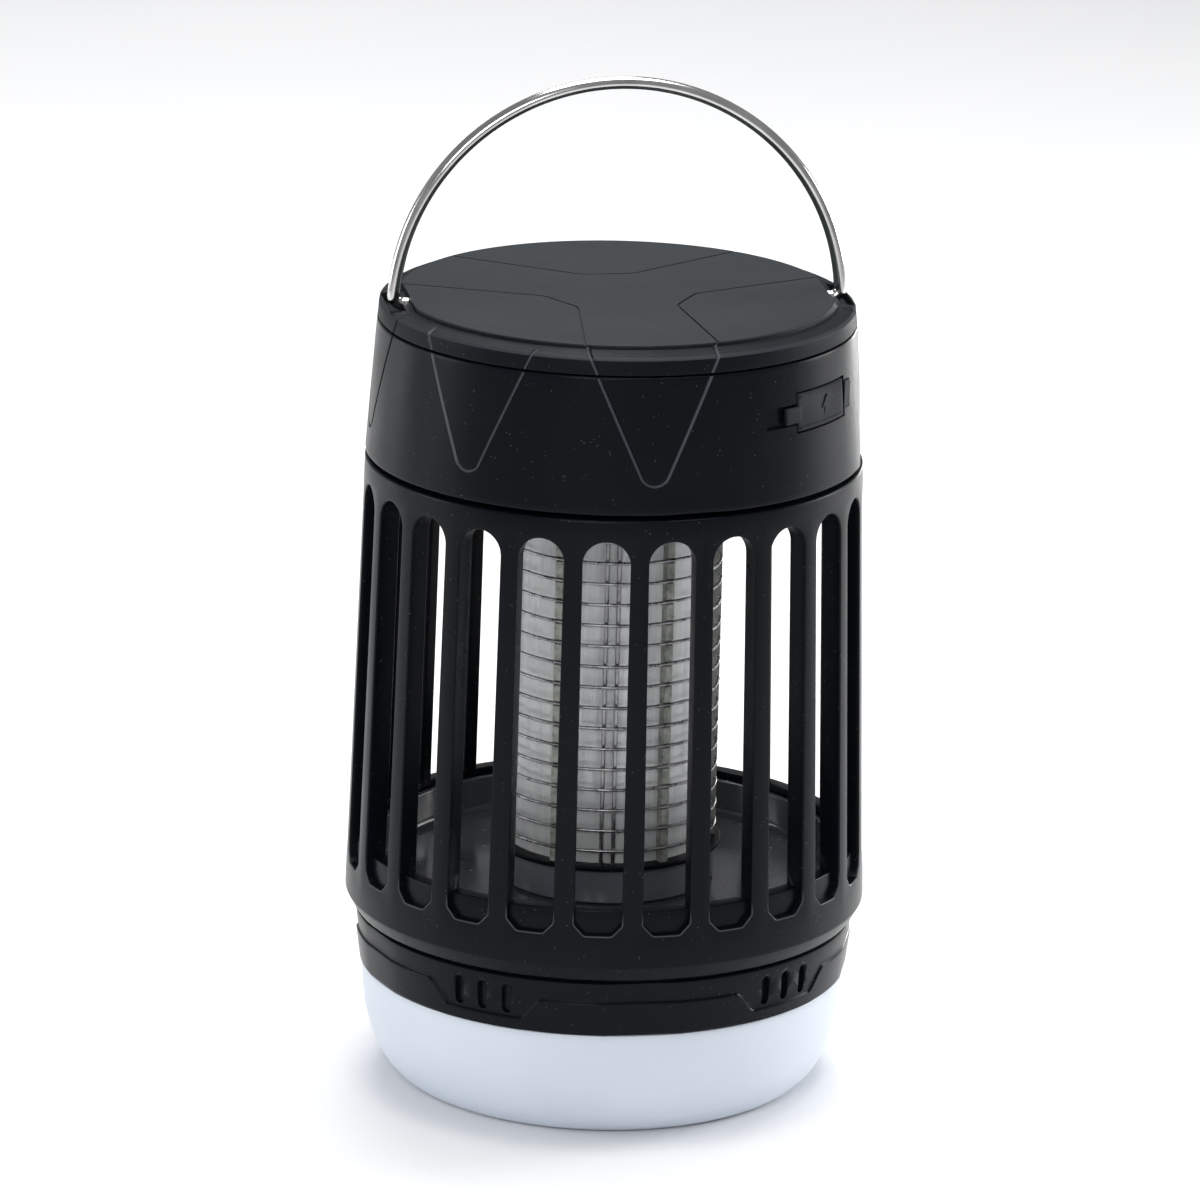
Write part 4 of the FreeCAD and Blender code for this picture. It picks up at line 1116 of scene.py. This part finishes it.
def makeRibs():
    s = gridSet
    seat = s["ring"] - s["wire"] - 0.05
    outline = [(s["ribInner"], 42.4), (s["ribOuter"], 42.4)]
    for i in range(s["turns"]):
        z = s["first"] + s["pitch"] * i
        outline += [(s["ribOuter"], z - 0.52), (s["ribOuter"] - 0.1, z - 0.42), (seat, z - 0.4), (seat, z + 0.4),
                    (s["ribOuter"] - 0.1, z + 0.42), (s["ribOuter"], z + 0.52)]
    outline += [(s["ribOuter"], 104.6), (s["ribInner"], 104.6)]
    n = len(outline)
    verts = [Vector((side * s["ribHalf"], -r, z)) * mm for side in (-1, 1) for r, z in outline]
    faces = [tuple(range(n)), tuple(reversed(range(n, 2 * n)))]
    faces += [(i, n + i, n + (i + 1) % n, (i + 1) % n) for i in range(n)]
    rib = cleaned(meshObject("comb_ribs", verts, faces), weld=0.0001, sharp=30)
    ribs = repeated(rib, s["ribs"], first=s["firstRib"], step=360 / s["ribs"], finish=combPlastic)
    return placed(ribs, "grid_ribs", finish=combPlastic)


makeRibs()
print("grid made")

flapSet = {"angle": 47.65, "half": 9.85, "low": 122.4, "high": 128.8, "thick": 1.3, "proud": 0.12,
           "tabAngle": 36.4, "tabHalf": 2.6, "tabLow": 123.9, "tabHigh": 126.7}


def curvedPanel(name, middle, half, low, high, inner, outer, count=16):
    angles = steps(middle - half, middle + half, count)
    outline = [(inner, low), (outer, low), (outer, high), (inner, high)]
    verts = [polar(shellRadius(z) + r, a, z) for a in angles for r, z in outline]
    faces = [(0, 1, 2, 3), tuple(reversed(range(4 * count, 4 * count + 4)))]
    for c in range(count):
        faces += [(c * 4 + r, c * 4 + 4 + r, c * 4 + 4 + (r + 1) % 4, c * 4 + (r + 1) % 4) for r in range(4)]
    return cleaned(softened(cleaned(meshObject(name, verts, faces)), 0.22, 3, 40), sharp=35)


def makeFlap():
    s = flapSet
    middle = (s["low"] + s["high"]) / 2
    panel = curvedPanel("panel", s["angle"], s["half"], s["low"], s["high"], -s["thick"], s["proud"])
    frameLow = curvedPanel("edge_low", s["angle"], s["half"] - 0.6, s["low"] + 0.25, s["low"] + 0.75, 0.0, 0.25)
    frameHigh = curvedPanel("edge_high", s["angle"], s["half"] - 0.6, s["high"] - 0.75, s["high"] - 0.25, 0.0, 0.25)
    tab = curvedPanel("tab", s["tabAngle"], s["tabHalf"], s["tabLow"], s["tabHigh"], -0.6, s["proud"] + 0.1, 6)
    plug = softened(block("plug", (-4.3, -1.6, -3.4), (4.3, 1.6, -1.0)), 0.5, 3)
    moved(plug, facing(47.0, shellRadius(middle), middle))
    bolt = slab("bolt", [(0.5, 1.9), (-1.1, -0.25), (-0.15, -0.25), (-0.5, -1.9), (1.1, 0.3), (0.15, 0.3)], 0.0, 0.28)
    cleaned(softened(bolt, 0.06, 2), sharp=35)
    moved(bolt, facing(s["angle"] + 0.6, shellRadius(middle), middle))
    return combined("port_flap", [panel, frameLow, frameHigh, tab, plug, bolt])


placed(makeFlap(), "usb_flap")


def makeButton():
    radius = shellRadius(126.0)
    outline = rounded([(0, -5.0), (1.4, -5.0), (1.4, -3.0), (5.3, -3.0), (5.3, -2.2), (4.5, -2.2), (4.5, 0.7),
                       (3.2, 0.42), (1.8, 0.2), (0, 0.1)], [0, 0.1, 0, 0.1, 0.1, 0, 0.35, 0.4, 0, 0], 4)
    return moved(lathe("round_button", outline, 72), facing(135.0, radius, 126.0))


placed(makeButton(), "power_button")
print("flap and button made")


roomSet = {"air": 0.3, "backdrop": 1.0}
floor = meshObject("floor", [Vector((x, y, -0.00005)) for x, y in ((-6, -6), (6, -6), (6, 6), (-6, 6))], [(0, 1, 2, 3)])
floorGraph = Graph("pale floor")
floorCloud = floorGraph.spread(floorGraph.noise(9.0), 0, 1)
floorGraph.colour(floorGraph.blend(floorCloud, (0.92, 0.925, 0.93), (0.94, 0.94, 0.945)))
floorGraph.fixed(Roughness=0.6)
floor.data.materials.append(floorGraph.material)

world = bpy.data.worlds.new("studio")
bpy.context.scene.world = world
world.use_nodes = True
air = world.node_tree
background = air.nodes["Background"]
background.inputs["Color"].default_value = (0.97, 0.98, 1.0, 1)
ray = air.nodes.new("ShaderNodeLightPath")
strength = air.nodes.new("ShaderNodeMapRange")
air.links.new(ray.outputs["Is Camera Ray"], strength.inputs["Value"])
strength.inputs["To Min"].default_value = roomSet["air"]
strength.inputs["To Max"].default_value = roomSet["backdrop"]
air.links.new(strength.outputs[0], background.inputs["Strength"])

lights = {"top panel": {"spot": (0.05, 0.05, 0.8), "size": 0.5, "power": 5.5},
          "left panel": {"spot": (-0.8, 0.1, 0.22), "size": 0.35, "power": 1.5},
          "right panel": {"spot": (0.8, 0.2, 0.24), "size": 0.35, "power": 3.8},
          "front panel": {"spot": (-0.3, -0.88, 0.52), "size": 0.4, "power": 3.0},
          "right edge strip": {"spot": (0.42, 0.55, 0.07), "size": 0.14, "power": 0.8},
          "left edge strip": {"spot": (-0.55, 0.42, 0.07), "size": 0.12, "power": 0.15},
          "far floor wash": {"spot": (0.0, 0.8, 0.95), "size": 0.5, "power": 4.5, "aim": (0.0, 0.8, 0.0)}}
for label, s in lights.items():
    lamp = bpy.data.lights.new(label, "AREA")
    lamp.shape = "DISK"
    lamp.size = s["size"]
    lamp.energy = s["power"]
    holder = bpy.data.objects.new(label, lamp)
    bpy.context.scene.collection.objects.link(holder)
    holder.location = s["spot"]
    aim = Vector(s.get("aim", (0, 0, 0.08))) - Vector(s["spot"])
    holder.rotation_euler = aim.to_track_quat("-Z", "Y").to_euler()

viewSet = {"distance": 1.2751, "elevation": 18.704, "azimuth": -9.4, "pan": -0.087, "tilt": 2.346, "roll": 1.332,
           "lens": 219.97, "pivot": (0, 0, 0.02975)}


def makeCamera():
    s = viewSet
    e, pan = math.radians(s["elevation"]), math.radians(s["pan"])
    pitch = -e + math.radians(s["tilt"])
    look = Vector((math.sin(pan) * math.cos(pitch), math.cos(pan) * math.cos(pitch), math.sin(pitch)))
    right = look.cross(Vector((0, 0, 1))).normalized()
    up = right.cross(look)
    roll = math.radians(s["roll"])
    side = right * math.cos(roll) + up * math.sin(roll)
    top = up * math.cos(roll) - right * math.sin(roll)
    turn = Matrix((side, top, -look)).transposed().to_4x4()
    place = Matrix.Translation((0, -s["distance"] * math.cos(e), s["distance"] * math.sin(e)))
    data = bpy.data.cameras.new("camera")
    data.lens = s["lens"]
    data.sensor_width = 36.0
    data.clip_start = 0.05
    data.clip_end = 30.0
    camera = bpy.data.objects.new("camera", data)
    bpy.context.scene.collection.objects.link(camera)
    around = Matrix.Translation(s["pivot"]) @ Matrix.Rotation(math.radians(s["azimuth"]), 4, "Z")
    camera.matrix_world = around @ place @ turn
    bpy.context.scene.camera = camera


makeCamera()
bpy.context.scene.view_settings.view_transform = "Standard"
